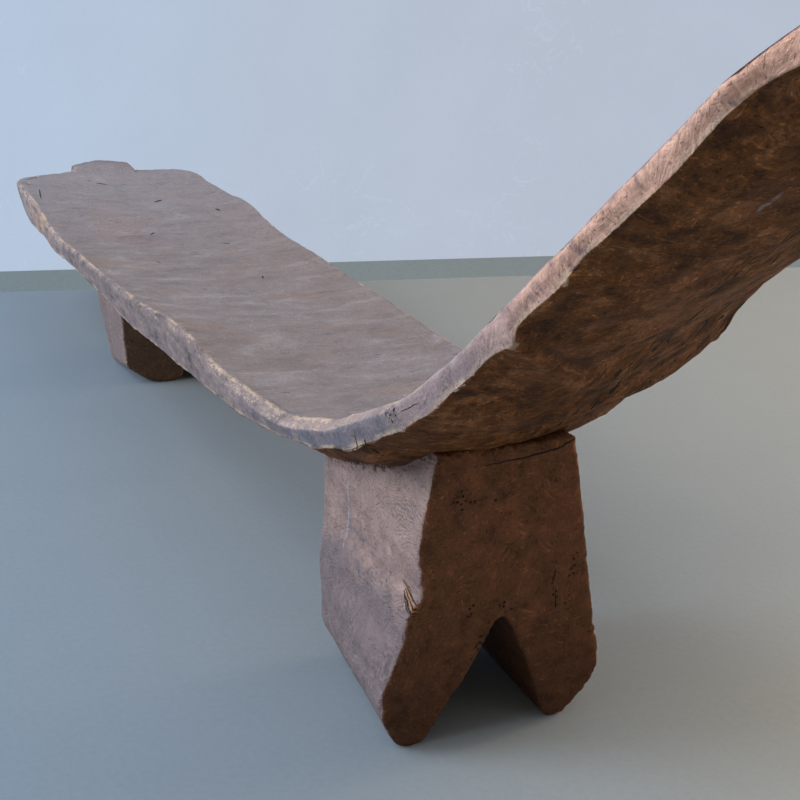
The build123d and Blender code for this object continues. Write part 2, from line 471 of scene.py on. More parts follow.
def carving_tree():
    """Geometry nodes that press adze cuts, swells, ripples and chips into a surface."""
    marks = bpy.context.scene.daybed_marks
    inputs = [("Geometry", GEOMETRY, None)]
    inputs += [(label, FLOAT, value) for label, value in mark_values(marks, LOG_SEED).items()]
    inputs += [("Material", "NodeSocketMaterial", None)]
    outputs = [("Geometry", GEOMETRY)]
    tree, wires, source, sink = group_tree("Carving Marks", "GeometryNodeTree", inputs, outputs)
    place = wires.add("GeometryNodeInputPosition").outputs[0]
    place = wires.vector("ADD", place, wires.combine(source["Seed"], source["Seed"]))
    normal = wires.add("GeometryNodeInputNormal").outputs[0]
    carve = named_float(wires, "carve")
    arris = named_float(wires, "arris")

    def relief(kind, detail, roughness=0.5):
        """Noise of the size and height of one kind of mark."""
        noise = wires.noise(place, wires.over(1.0, source[kind + " Size"]), detail, roughness)
        noise = wires.times(wires.centred(noise), source[kind + " Depth"])
        return wires.times(noise, wires.times(carve, 2.0))

    facet_scale = wires.over(1.0, source["Facet Size"])
    cut_place = wires.sway(place, wires.times(facet_scale, 1.3), source["Facet Size"], 1.0, 0.5)
    bowl = wires.cells(wires.drawn_out(cut_place, 0.75), facet_scale)
    bowl = wires.minus(wires.times(bowl, bowl), 0.22)
    facets = wires.times(wires.times(wires.times(bowl, source["Facet Depth"]), carve), 2.0)

    chip = wires.noise(place, wires.over(1.0, source["Chip Size"]), 2.0, 0.6)
    chip = wires.times(wires.times(wires.step(chip, 0.48, 0.68), arris), source["Chip Depth"])

    slow = wires.plus(facets, relief("Swell", 1.0))
    offset = wires.stretch(normal, wires.plus(slow, wires.minus(relief("Ripple", 3.0, 0.55), chip)))
    moved = wires.add("GeometryNodeSetPosition", None, {"Geometry": source["Geometry"], "Offset": offset})
    whole = wires.add("GeometryNodeRealizeInstances", None, {"Geometry": moved.outputs[0]})
    feeds = {"Geometry": whole.outputs[0], "Material": source["Material"]}
    painted = wires.add("GeometryNodeSetMaterial", None, feeds)
    wires.feed(sink["Geometry"], painted.outputs[0])
    return tree


def carve(piece, tree, material, values):
    """Runs the carving tree on a piece and returns the carved mesh."""
    modifier = piece.modifiers.new("Carving Marks", "NODES")
    modifier.node_group = tree
    sockets = {item.name: item.identifier for item in tree.interface.items_tree if item.in_out == "INPUT"}
    for label, value in {**values, "Material": material}.items():
        modifier[sockets[label]] = value
    mesh = evaluated_mesh(piece, piece.name)
    piece.modifiers.remove(modifier)
    return mesh


# ---- the log: sleeping slab and headrest ----------------------------------------------------

# swells of the rims' arrises and widths: (distance from the head leg's face, half length, rise)
LEFT_TOP_SWELLS = (
    (-1.430, 0.10, 0.0015),
    (-1.200, 0.20, -0.007),
    (-0.720, 0.14, 0.003),
    (-0.520, 0.18, 0.0115),
    (-0.360, 0.12, -0.0055),
    (-0.220, 0.12, -0.0085),
    (-0.020, 0.08, 0.0055),
    (0.060, 0.08, 0.0015),
    (0.140, 0.08, 0.0015),
    (0.210, 0.07, 0.003),
    (0.280, 0.07, 0.004),
    (0.340, 0.06, 0.0035),
    (0.400, 0.04, 0.0030),
    (0.445, 0.06, 0.0042),
)
LEFT_LOW_SWELLS = (
    (-1.450, 0.16, -0.0175),
    (-1.270, 0.16, -0.0115),
    (-1.080, 0.16, 0.001),
    (-0.900, 0.16, 0.001),
    (-0.740, 0.14, -0.0055),
    (-0.600, 0.14, -0.0035),
    (-0.460, 0.12, -0.0025),
    (-0.330, 0.12, -0.002),
    (-0.220, 0.10, 0.0025),
    (-0.130, 0.08, 0.007),
    (-0.060, 0.07, 0.0095),
    (0.000, 0.055, 0.008),
    (0.050, 0.05, 0.005),
    (0.100, 0.05, 0.004),
    (0.150, 0.05, 0.007),
    (0.200, 0.05, 0.0105),
    (0.250, 0.05, 0.0115),
    (0.300, 0.05, 0.0145),
    (0.350, 0.045, 0.0118),
    (0.395, 0.045, 0.0115),
    (0.450, 0.08, 0.0132),
)
RIGHT_TOP_SWELLS = (
    (-1.700, 0.10, 0.009),
    (-1.550, 0.07, -0.003),
    (-1.440, 0.20, -0.005),
    (-1.315, 0.10, 0.004),
    (-1.115, 0.26, -0.007),
    (-0.830, 0.22, -0.003),
)
RIGHT_LOW_SWELLS = (
    (-0.090, 0.07, 0.0015),
    (-0.030, 0.06, 0.0075),
    (0.020, 0.05, 0.0095),
    (0.060, 0.04, 0.0125),
    (0.090, 0.03, -0.0145),
    (0.115, 0.022, -0.005),
    (0.140, 0.03, -0.0025),
    (0.170, 0.035, 0.0065),
    (0.210, 0.05, 0.005),
    (0.270, 0.08, 0.0015),
)
LEFT_WIDTH_SWELLS = ((-1.550, 0.25, 0.006), (0.390, 0.06, 0.004))
RIGHT_WIDTH_SWELLS = ((-1.720, 0.50, -0.018), (0.085, 0.06, 0.007))
# the grid: gaps between its cross rows, where they get finer, and its columns and edge rows
ROW_GAP_FOOT = 0.0045
ROW_GAP_HEAD = 0.0028
FINE_ROWS_FROM = 0.10
FINE_ROWS_RUN = 0.2
COLUMNS = 76
EDGE_ROWS = 23
# no straight rows this close to the two ends, and no side of the outline this close to the middle
FOOT_ROW_GAP = 0.04
HEAD_ROW_GAP = 0.012
SIDE_FROM = 0.03
# runs from the foot and the head end over which the rows turn to follow those ends
FOOT_FAN_RUN = 0.22
HEAD_FAN_RUN = 0.12
# plan of the two ends: places from the end, half widths and rounding
FOOT_END_HALF_WIDTH = 0.055
FOOT_END_ROUNDING = 0.30
FOOT_CORNER = 0.045
FOOT_CORNER_ROUNDING = 0.085
SIDE_START = 0.15
SIDE_STEP = 0.015
SHOULDER_GAP = 0.03
SHOULDER_OUTSET = 0.002
SHOULDER_ROUNDING = 0.03
TIP_ROUNDING = 0.04
# the ridge across the headrest's underside: lean in plan, run of its rise and of its steep side
RIDGE_LEAN = 0.6
RIDGE_RUN = 0.035
RIDGE_STEEP_RUN = 0.006
# rounding of the rim's arrises, how far the lower one lies inside the upper one, everywhere and
# more at the foot end, and how far the face between them bulges
ARRIS_ROUNDING = 0.0012
RIM_SLANT = 0.005
FOOT_RIM_SLANT = 0.003
RIM_BULGE = 0.0012
# the worn upper arris: drop for its width, where it narrows along the headrest, where it is widest
CHAMFER_SLOPE = 0.85
HEAD_CHAMFER_FROM = 0.06
HEAD_CHAMFER_RUN = 0.14
BEND_CHAMFER_SWELL = ((-0.145, 0.34, 1.0),)
# X from which the rim leans back to the headrest's square-cut end
HEAD_END_FROM = 1.0
HEAD_END_RUN = 0.04
# masks down the edge strip, as shares of the way from the upper to the lower sheet:
# (start, run of the fade in, end, run of the fade out)
EDGE_MASKS = {
    "band": (0.15, 0.06, 0.38, 0.06),
    "rim": (0.15, 0.06, 0.77, 0.05),
    "crest": (0.07, 0.06, 0.23, 0.08),
    "lip": (0.64, 0.08, 0.77, 0.05),
}
# where the upper face ends and where the whole edge ends, in the same way: (start, run)
UPPER_END = (0.15, 0.06)
EDGE_END = (0.90, 0.08)
# strength of the carving marks on the underside, and how much less they show above it
LOG_CARVING = 0.65
LOG_CALM = 0.45
LOG_SEED = 3.0


class LogShape:
    """The log's height and width laws along X."""

    def __init__(self, sizes):
        self.sizes = sizes

    def bend_share(self, x):
        soft = self.sizes.bend_softness
        return (x - head_face + soft) / (2 * soft)

    def rim_height(self, x):
        sizes = self.sizes
        d = x - (head_face - sizes.bend_offset)
        bend = tan(sizes.headrest_slope) * (d + np.hypot(d, sizes.bend_softness)) / 2
        return sizes.seat_height + bend + sizes.foot_rise * ease((foot_face - x) / (foot_face - slab_end))

    def right_rise(self, x):
        sizes = self.sizes
        return sizes.twist_rise * ease((x - head_face + sizes.twist_start) / sizes.twist_run)

    def half_width(self, x):
        sizes = self.sizes
        t = (head_face + sizes.waist_start - x) / sizes.waist_run
        return blend(sizes.headrest_half_width, slab_half_width, t)

    def across(self, x, y):
        """Place across the log: -1 at the left arris and 1 at the right one."""
        return np.clip(y / self.half_width(x), -1.1, 1.1)

    def between_arrises(self, x, q, left_swells, right_swells):
        """Height of the straight line from the left to the right arris."""
        rim = self.rim_height(x)
        left = rim + swells(x - head_face, left_swells)
        right = rim + self.right_rise(x) + swells(x - head_face, right_swells)
        return left + (right - left) * (q + 1) / 2

    def upper(self, x, y):
        """Height of the upper face, dished but for the left foot corner."""
        q = self.across(x, y)
        fade = (1 - ease((x - slab_end + 0.01) / 0.13)) * ease(0.5 - q)
        dish = self.sizes.slab_dish * (1 - fade)
        return self.between_arrises(x, q, LEFT_TOP_SWELLS, RIGHT_TOP_SWELLS) - dish * (1 - q * q)

    def lower(self, x, y):
        """Height of the underside."""
        sizes = self.sizes
        q = self.across(x, y)
        rim = blend(sizes.slab_edge, sizes.headrest_edge, self.bend_share(x))
        belly = blend(sizes.slab_belly, sizes.headrest_belly, self.bend_share(x))
        height = self.between_arrises(x, q, LEFT_LOW_SWELLS, RIGHT_LOW_SWELLS) - rim - belly * (1 - q * q)
        return height - self.ridge(x, y) - self.swell_over_leg(x, y)

    def ridge(self, x, y):
        """Drop of a hewn ridge that crosses the left half of the headrest's underside."""
        sizes = self.sizes
        past = x - (head_face + sizes.ridge_place - RIDGE_LEAN * (y + sizes.headrest_half_width))
        fall = np.exp(np.minimum(past, 0) / RIDGE_RUN) * (1 - ease((past + 0.002) / RIDGE_STEEP_RUN))
        return sizes.ridge_drop * fall * ease((0.010 - y) / 0.06)

    def swell_over_leg(self, x, y):
        """Drop of the underside where it runs into the head leg's left face."""
        along = ease((x - head_face + 0.190) / 0.035) * ease((head_face - x - 0.002) / 0.050)
        return self.sizes.leg_swell * along * swells(y, ((-0.080, 0.045, 1.0),))

    def grain_places(self, points):
        """Places in a straightened log: run along the rim, across, and depth under the rim."""
        x = np.linspace(slab_end - 0.1, headrest_tip + 0.1, 2000)
        rim = self.rim_height(x)
        slope = np.gradient(rim, x)
        run = np.concatenate([[0], np.cumsum(np.hypot(np.diff(x), np.diff(rim)))])
        run -= np.interp(head_face, x, run)
        along, across, height = points.T
        depth = (height - self.rim_height(along)) / np.hypot(1, np.interp(along, x, slope))
        return np.stack([np.interp(along, x, run), across, depth], axis=1)

    def tip_lean(self):
        """How far the headrest's square-cut end leans back from its lower to its upper arris."""
        tip = np.array([headrest_tip])
        thick = self.upper(tip, np.zeros(1)) - self.lower(tip, np.zeros(1))
        slope = self.sizes.headrest_slope
        return float(thick[0]) * sin(slope) * cos(slope)

    def outline(self):
        """Plan outline of the upper arris, closed: foot end, left side, head end, right side."""
        sizes = self.sizes
        tip = headrest_tip - self.tip_lean()
        shoulder = headrest_tip - sizes.shoulder_reach
        taper = (sizes.headrest_half_width - sizes.tip_half_width) / sizes.shoulder_reach
        tip_half = sizes.tip_half_width + taper * (headrest_tip - tip)
        sides = []
        for hand, places in ((-1, LEFT_WIDTH_SWELLS), (1, RIGHT_WIDTH_SWELLS)):
            corner = slab_end + FOOT_CORNER
            corner_half = slab_half_width + float(swells(corner - head_face, places))
            side = [
                (slab_end, hand * FOOT_END_HALF_WIDTH, FOOT_END_ROUNDING),
                (corner, hand * corner_half, FOOT_CORNER_ROUNDING),
            ]
            for x in np.arange(slab_end + SIDE_START, shoulder - SHOULDER_GAP, SIDE_STEP):
                side.append((x, hand * float(self.half_width(x) + swells(x - head_face, places)), 0))
            side.append((shoulder, hand * (sizes.headrest_half_width + SHOULDER_OUTSET), SHOULDER_ROUNDING))
            side.append((tip, hand * tip_half, TIP_ROUNDING))
            sides.append(side)
        return rounded(sides[0] + sides[1][::-1])


def row_places():
    """Places of the cross rows, closer together towards the headrest."""
    places = [0.0]
    while places[-1] < headrest_tip - slab_end:
        t = (slab_end + places[-1] - FINE_ROWS_FROM) / FINE_ROWS_RUN
        gap = blend(ROW_GAP_FOOT, ROW_GAP_HEAD, t)
        places.append(places[-1] + float(gap))
    return slab_end + np.array(places)


def boundary(shape):
    """Upper arris in grid order: left side, head end, right side, foot end, and the corners' indices."""
    outline = shape.outline()
    rows = row_places()
    last = headrest_tip - shape.tip_lean() - HEAD_ROW_GAP
    rows = rows[(rows > slab_end + FOOT_ROW_GAP) & (rows < last)]
    seam_row = int(np.argmin(abs(rows - seam)))
    rows[seam_row] = seam
    sides = []
    for hand in (-1, 1):
        half = outline[outline[:, 1] * hand > SIDE_FROM]
        half = half[np.argsort(half[:, 0])]
        sides.append(np.stack([rows, np.interp(rows, half[:, 0], half[:, 1])], axis=1))
    left, right = sides
    t = np.linspace(0, 1, COLUMNS + 1)

    def end_curve(row, beyond):
        points = outline[beyond]
        points = points[np.argsort(points[:, 1])]
        y = left[row, 1] * (1 - t) + right[row, 1] * t
        x = np.interp(y, points[:, 1], points[:, 0])
        return np.stack([x, y], axis=1)

    foot = end_curve(0, outline[:, 0] < rows[0])
    head = end_curve(-1, outline[:, 0] > rows[-1])
    loop = np.concatenate([left, head[1:-1], right[::-1], foot[::-1][1:-1]])
    return loop, len(rows), seam_row


def outward(loop):
    """Unit normals of a closed plan loop, pointing out."""
    tangent = np.roll(loop, -1, axis=0) - np.roll(loop, 1, axis=0)
    normal = np.stack([tangent[:, 1], -tangent[:, 0]], axis=1)
    return normal / np.linalg.norm(normal, axis=1)[:, None]


def sheet_grid(edge, row_count):
    """Fills a closed plan loop with rows across; the end rows follow the loop's ends."""
    left = edge[:row_count]
    head = edge[row_count - 1 : row_count + COLUMNS]
    right = edge[row_count + COLUMNS - 1 : 2 * row_count + COLUMNS - 1][::-1]
    foot = np.concatenate([edge[2 * row_count + COLUMNS - 2 :], edge[:1]])[::-1]
    t = np.linspace(0, 1, COLUMNS + 1)[None, :, None]
    chords = left[:, None] * (1 - t) + right[:, None] * t
    fade = ease(1 - (left[:, 0] - left[0, 0]) / FOOT_FAN_RUN)[:, None, None]
    chords = chords + fade * (foot - chords[0])[None]
    fade = ease(1 - (left[-1, 0] - left[:, 0]) / HEAD_FAN_RUN)[:, None, None]
    return chords + fade * (head - chords[-1])[None]


def spline_weights(count, rows):
    """Weights of a clamped quadratic spline's control points, one row for each point along it."""
    knots = np.concatenate([[0, 0], np.arange(count - 1), [count - 2, count - 2]]).astype(float)
    places = np.linspace(0, count - 2, rows)
    weights = np.zeros((rows, count))
    for k, u in enumerate(places):
        span = min(int(u), count - 3) + 2
        basis = [1.0]
        for degree in (1, 2):
            raised = [0.0] * (degree + 1)
            for j in range(degree):
                low = knots[span - degree + 1 + j]
                high = knots[span + 1 + j]
                part = basis[j] / (high - low)
                raised[j] += (high - u) * part
                raised[j + 1] += (u - low) * part
            basis = raised
        weights[k, span - 2 : span + 1] = basis
    return weights


def log_mesh(shape):
    """The whole log as one closed grid, with each point's row, the seam's row and the grid's numbers."""
    sizes = shape.sizes
    loop, row_count, seam_row = boundary(shape)
    normal = outward(loop)
    x, y = loop.T
    lean = shape.tip_lean()
    at_head = ease((normal[:, 0] - 0.35) / 0.5) * ease((x - HEAD_END_FROM) / HEAD_END_RUN)
    at_foot = ease((-normal[:, 0] - 0.3) / 0.5)
    slant = RIM_SLANT + FOOT_RIM_SLANT * at_foot - (lean + RIM_SLANT) * at_head
    corner = sizes.corner_chamfer * ease((slab_end + 0.11 - x) / 0.09) * ease(-y / 0.08)
    run = x - head_face
    chamfer = blend(sizes.chamfer, sizes.head_chamfer, (run - HEAD_CHAMFER_FROM) / HEAD_CHAMFER_RUN) + corner
    chamfer += (sizes.bend_chamfer - sizes.chamfer) * swells(run, BEND_CHAMFER_SWELL)
    top = shape.upper(x, y)
    inset = sizes.arris_inset + corner

    def spot(out, height):
        plan = loop + normal * np.reshape(out, (-1, 1))
        return np.concatenate([plan, np.reshape(height, (-1, 1))], axis=1)

    low_loop = loop - normal * slant[:, None]
    low = shape.lower(low_loop[:, 0], low_loop[:, 1])
    upper_edge = loop - normal * inset[:, None]
    lower_edge = low_loop - normal * inset[:, None]
    sharp = ARRIS_ROUNDING
    controls = [
        spot(-inset, shape.upper(upper_edge[:, 0], upper_edge[:, 1])),
        spot(-chamfer - 3 * sharp, top + 0.0004),
        spot(-chamfer - sharp, top + 0.0003),
        spot(-chamfer + sharp, top - sharp),
        spot(-sharp, top - chamfer * CHAMFER_SLOPE + sharp),
        spot(0, top - chamfer * CHAMFER_SLOPE - sharp),
        spot(RIM_BULGE - slant * 0.5, (top + low) / 2),
        spot(RIM_BULGE / 2 - slant, low + 3 * sharp),
        spot(0.0002 - slant, low + sharp),
        spot(-slant - sharp, low - 0.0002),
        spot(-slant - 4 * sharp, low - 0.0010),
        spot(-slant - inset, shape.lower(lower_edge[:, 0], lower_edge[:, 1])),
    ]
    strip = np.einsum("rc,ckd->rkd", spline_weights(len(controls), EDGE_ROWS + 1), np.array(controls))

    upper_plan = sheet_grid(upper_edge, row_count)
    lower_plan = sheet_grid(lower_edge, row_count)
    upper_z = shape.upper(upper_plan[..., 0], upper_plan[..., 1])
    lower_z = shape.lower(lower_plan[..., 0], lower_plan[..., 1])
    upper_points = np.concatenate([upper_plan, upper_z[..., None]], axis=2)
    lower_points = np.concatenate([lower_plan, lower_z[..., None]], axis=2)

    # point numbers: upper sheet, lower sheet, then the inner rows of the edge strip
    sheet_count = row_count * (COLUMNS + 1)
    upper_ids = np.arange(sheet_count).reshape(row_count, COLUMNS + 1)
    lower_ids = upper_ids + sheet_count
    inner = strip[1:-1]
    inner_ids = np.arange(inner.shape[0] * inner.shape[1]).reshape(inner.shape[:2]) + 2 * sheet_count

    def rim_ids(ids):
        return np.concatenate([ids[:, 0], ids[-1, 1:-1], ids[::-1, -1], ids[0, ::-1][1:-1]])

    strip_ids = np.concatenate([rim_ids(upper_ids)[None], inner_ids, rim_ids(lower_ids)[None]])
    wrapped = np.roll(strip_ids, -1, axis=1)
    faces = [
        np.stack([upper_ids[:-1, :-1], upper_ids[1:, :-1], upper_ids[1:, 1:], upper_ids[:-1, 1:]], axis=-1),
        np.stack([lower_ids[:-1, :-1], lower_ids[:-1, 1:], lower_ids[1:, 1:], lower_ids[1:, :-1]], axis=-1),
        np.stack([strip_ids[:-1], strip_ids[1:], wrapped[1:], wrapped[:-1]], axis=-1),
    ]
    faces = np.concatenate([quad.reshape(-1, 4) for quad in faces])
    points = np.concatenate([upper_points.reshape(-1, 3), lower_points.reshape(-1, 3), inner.reshape(-1, 3)])

    loop_rows = np.concatenate(
        [
            np.arange(row_count),
            np.full(COLUMNS - 1, row_count - 1),
            np.arange(row_count)[::-1],
            np.zeros(COLUMNS - 1, int),
        ]
    )
    sheet_rows = np.repeat(np.arange(row_count), COLUMNS + 1)
    rows = np.concatenate([sheet_rows, sheet_rows, np.tile(loop_rows, inner.shape[0])])
    down = np.linspace(0, 1, EDGE_ROWS + 1)[1:-1]

    def per_point(on_upper, on_strip):
        on_sheets = [np.full(sheet_count, on_upper), np.zeros(sheet_count)]
        return np.concatenate([*on_sheets, np.repeat(on_strip, len(loop))])

    def past(start, run):
        return ease((down - start) / run)

    attributes = {
        "upper": per_point(1.0, 1 - past(*UPPER_END)),
        "edge": per_point(0.0, 1 - past(*EDGE_END)),
    }
    for key, (start, rise, end, fall) in EDGE_MASKS.items():
        attributes[key] = per_point(0.0, past(start, rise) * (1 - past(end, fall)))
    loop_ids = (upper_ids, lower_ids, strip_ids, row_count)
    return new_mesh("log_blank", points, faces.tolist(), attributes), rows, seam_row, loop_ids


def seam_cap(loop_ids, seam_row):
    """Point numbers round the cross-section at the seam."""
    upper_ids, lower_ids, strip_ids, row_count = loop_ids
    right = 2 * row_count + COLUMNS - 2 - seam_row
    right_side = strip_ids[1:-1, right]
    left_side = strip_ids[1:-1, seam_row][::-1]
    return np.concatenate([upper_ids[seam_row], right_side, lower_ids[seam_row, ::-1], left_side])


def cut_out(name, whole, grain, keep, cap, material, flip_cap):
    """One side of the log as a mesh of its own, closed by a cap at the seam."""
    points = points_of(whole)
    normals = normals_of(whole)
    faces = rows_of(whole.polygons, "vertices", 4, np.int32)
    faces = faces[np.all(keep[faces], axis=1)]
    number = np.cumsum(keep) - 1
    rings = number[faces].tolist()
    rings.append(number[cap[::-1] if flip_cap else cap].tolist())
    keys = ("upper", "arris", "hollow", *EDGE_MASKS)
    attributes = {key: get_attribute(whole, key)[keep] for key in keys}
    attributes["grain"] = grain[keep]
    mesh = new_mesh(name, points[keep], rings, attributes, normals[keep])
    mesh.materials.append(material)
    return mesh


def build_log(sizes, marks, material, tree):
    shape = LogShape(sizes)
    blank, rows, seam_row, loop_ids = log_mesh(shape)
    mark_edges(blank)
    upper = get_attribute(blank, "upper")
    rim = get_attribute(blank, "rim")
    set_attribute(blank, "carve", LOG_CARVING - LOG_CALM * upper - LOG_CALM * rim)
    log = new_object("log_blank", blank)
    whole = carve(log, tree, material, mark_values(marks, LOG_SEED))
    bpy.data.objects.remove(log)
    mark_edges(whole)
    set_attribute(whole, "arris", get_attribute(whole, "arris") * get_attribute(blank, "edge"))
    cap = seam_cap(loop_ids, seam_row)
    grain = shape.grain_places(points_of(whole))
    slab_mesh = cut_out("bed_slab_carved", whole, grain, rows <= seam_row, cap, material, False)
    headrest_mesh = cut_out("headrest_carved", whole, grain, rows >= seam_row, cap, material, True)
    slab = new_object("bed_slab_carved", slab_mesh)
    headrest = new_object("headrest_carved", headrest_mesh)
    finish_piece(slab, "bed_slab")
    finish_piece(headrest, "headrest")


# ---- legs and lug ---------------------------------------------------------------------------

# outlines across the log, (y, z, radius), from the notch round the left toe, the top and the right toe
HEAD_LEG_FRONT = (
    (0.004, 0.108, 0.008),
    (-0.030, 0.048, 0.10),
    (-0.064, 0.000, 0.016),
    (-0.086, 0.000, 0.016),
    (-0.104, 0.040, 0.04),
    (-0.082, 0.092, 0.03),
    (-0.079, 0.113, 0.004),
    (-0.067, 0.128, 0.006),
    (-0.071, 0.170, 0.04),
    (-0.057, 0.245, 0),
    (0.061, 0.245, 0),
    (0.070, 0.192, 0.10),
    (0.085, 0.100, 0.08),
    (0.099, 0.034, 0.045),
    (0.062, 0.000, 0.012),
    (0.046, 0.000, 0.010),
    (0.026, 0.060, 0.08),
)
HEAD_LEG_BACK = (
    (0.004, 0.096, 0.012),
    (-0.026, 0.045, 0.10),
    (-0.052, 0.000, 0.014),
    (-0.071, 0.000, 0.016),
    (-0.089, 0.030, 0.03),
    (-0.089, 0.085, 0.03),
    (-0.087, 0.112, 0.02),
    (-0.085, 0.130, 0.02),
    (-0.083, 0.170, 0.04),
    (-0.080, 0.245, 0),
    (0.080, 0.245, 0),
    (0.084, 0.192, 0.10),
    (0.086, 0.100, 0.08),
    (0.090, 0.036, 0.030),
    (0.068, 0.000, 0.012),
    (0.048, 0.000, 0.012),
    (0.026, 0.050, 0.08),
)
HEAD_LEG_DEPTHS = ((0.0, 0.158), (0.012, 0.166), (0.035, 0.175), (0.115, 0.181), (0.25, 0.190))
FOOT_LEG_FRONT = (
    (0.004, 0.074, 0.02),
    (-0.006, 0.026, 0.05),
    (-0.022, 0.000, 0.012),
    (-0.062, 0.000, 0.040),
    (-0.099, 0.028, 0.020),
    (-0.104, 0.105, 0.10),
    (-0.110, 0.200, 0),
    (0.110, 0.200, 0),
    (0.106, 0.105, 0.10),
    (0.100, 0.030, 0.05),
    (0.070, 0.000, 0.025),
    (0.032, 0.000, 0.012),
    (0.020, 0.022, 0.05),
)
FOOT_LEG_BACK = (
    (0.004, 0.060, 0.02),
    (-0.006, 0.026, 0.05),
    (-0.022, 0.000, 0.012),
    (-0.060, 0.000, 0.020),
    (-0.097, 0.000, 0.014),
    (-0.114, 0.115, 0.20),
    (-0.122, 0.200, 0),
    (0.118, 0.200, 0),
    (0.110, 0.105, 0.10),
    (0.100, 0.030, 0.05),
    (0.070, 0.000, 0.025),
    (0.032, 0.000, 0.012),
    (0.020, 0.022, 0.05),
)
FOOT_LEG_DEPTHS = ((0.0, 0.132), (0.05, 0.142), (0.20, 0.166))
LEG_TOP_DEPTH = 0.020
LEG_CARVING = 0.32
# how far a leg's surface has to face left or right to count as its side
SIDE_LEAN = 0.58
SIDE_LEAN_RUN = 0.12
# dirt and painted shade gather as dark crumbs this close under the slab
GRIME_AND_SHADE_GAP = 0.003
GRIME_AND_SHADE_RUN = 0.007
HEAD_LEG_VOXEL = 0.0018
HEAD_LEG_SEED = 5.0
FOOT_LEG_VOXEL = 0.0026
FOOT_LEG_SEED = 7.0
LUG_VOXEL = 0.0022
LUG_SEED = 9.0
LUG_CARVING = 0.35
LUG_LENGTH = 0.045
LUG_RAMP_RUN = 0.060
LUG_SINK = 0.004


def prism(name, front, back, front_x, back_x):
    """Closed solid between two outlines of (y, z); front_x and back_x give X for each of their points."""
    front = rounded(front)
    back = rounded(back)
    count = len(front)
    front_points = np.stack([front_x(front), front[:, 0], front[:, 1]], axis=1)
    back_points = np.stack([back_x(back), back[:, 0], back[:, 1]], axis=1)
    faces = [[i, i + count, (i + 1) % count + count, (i + 1) % count] for i in range(count)]
    faces.append(list(range(count)))
    faces.append(list(range(2 * count - 1, count - 1, -1)))
    return new_mesh(name, np.concatenate([front_points, back_points]), faces)


def remeshed(mesh, voxel, rounds):
    """Even mesh of the same solid, with its arrises rubbed down a little."""
    blank = new_object("blank", mesh)
    modifier = blank.modifiers.new("Even Mesh", "REMESH")
    modifier.mode = "VOXEL"
    modifier.voxel_size = voxel
    result = evaluated_mesh(blank, mesh.name)
    bpy.data.objects.remove(blank)
    move_points(result, relax(points_of(result), edges_of(result), rounds))
    return result


def build_leg(name, nodes, form, face, marks, shape, material, tree):
    """One leg with its toes; form holds its two outlines, depths by height, voxel size and seed."""
    front, back, depths, voxel, seed = form
    heights = [z for z, _ in depths]
    reach = [depth for _, depth in depths]

    def front_x(ring):
        return np.full(len(ring), face)

    def back_x(ring):
        return face - np.interp(ring[:, 1], heights, reach)

    mesh = remeshed(prism(name, front, back, front_x, back_x), voxel, 1)
    points = points_of(mesh)
    mark_edges(mesh)
    set_attribute(mesh, "carve", LEG_CARVING * ease((points[:, 2] - 0.001) / 0.02))
    leg = new_object(name, mesh)
    carved = carve(leg, tree, material, mark_values(marks, seed))
    leg.data = carved
    points = points_of(carved)
    roof = shape.upper(points[:, 0], points[:, 1]) - LEG_TOP_DEPTH
    points[:, 2] = np.clip(points[:, 2], 0, roof)
    move_points(carved, points)
    mark_edges(carved)
    outward_lean = relax(normals_of(carved), edges_of(carved), 2)[:, 1] * np.sign(points[:, 1])
    set_attribute(carved, "side", ease((outward_lean - SIDE_LEAN) / SIDE_LEAN_RUN))
    gap = shape.lower(points[:, 0], points[:, 1]) - points[:, 2]
    set_attribute(carved, "grime", ease(1 - (gap - GRIME_AND_SHADE_GAP) / GRIME_AND_SHADE_RUN))
    set_attribute(carved, "grain", points - (head_face, 0, 0))
    finish_piece(leg, *nodes)


def build_lug(marks, shape, material, tree):
    """The lug grows out of the upper face in a smooth ramp."""
    inner = slab_end + LUG_LENGTH
    low = lug_low + LUG_SINK
    top = lug_high - LUG_SINK
    outline = (
        (-lug_half_width - 0.010, low, 0.006),
        (-lug_half_width - 0.007, top - 0.003, 0.005),
        (-0.014, top + LUG_SINK, 0.30),
        (lug_half_width - 0.012, top - 0.003, 0.003),
        (lug_half_width - 0.011, low, 0.006),
    )

    def outer(ring):
        return lug_tip + np.where(ring[:, 0] < 0, 0.014, 0.003) * abs(ring[:, 0] / lug_half_width) ** 3

    def inner_end(ring):
        return np.full(len(ring), inner)

    mesh = remeshed(prism("end_lug_carved", outline, outline, inner_end, outer), LUG_VOXEL, 2)
    points = points_of(mesh)
    surface = shape.upper(points[:, 0], points[:, 1])
    rise = ease((inner - points[:, 0]) / LUG_RAMP_RUN)
    ramp = surface - LUG_SINK + (lug_high + 0.006 - surface) * rise
    points[:, 2] = np.minimum(points[:, 2], ramp)
    move_points(mesh, points)
    mark_edges(mesh)
    set_attribute(mesh, "carve", np.full(len(mesh.vertices), LUG_CARVING))
    lug = new_object("end_lug_carved", mesh)
    lug.data = carve(lug, tree, material, mark_values(marks, LUG_SEED))
    lug.data.shade_smooth()
    mark_edges(lug.data)
    normals = relax(normals_of(lug.data), edges_of(lug.data), 4)
    set_attribute(lug.data, "upper", ease((normals[:, 2] - 0.5) / 0.3))
    set_attribute(lug.data, "rim", ease((0.6 - normals[:, 2]) / 0.3))
    set_attribute(lug.data, "grain", points_of(lug.data) - (head_face, 0, lug_high))
    finish_piece(lug, "end_lug")


# ---- shader groups --------------------------------------------------------------------------

PATCH_TURN = (6.28, 6.28, 6.28)
RING_TURN = 6.283


def shader_group(name, vectors, numbers, results):
    """A shader group with vector inputs, number inputs with their defaults, and number outputs."""
    inputs = [(label, VECTOR, None) for label in vectors]
    inputs += [(label, FLOAT, default) for label, default in numbers.items()]
    return group_tree(name, "ShaderNodeTree", inputs, [(label, FLOAT) for label in results])


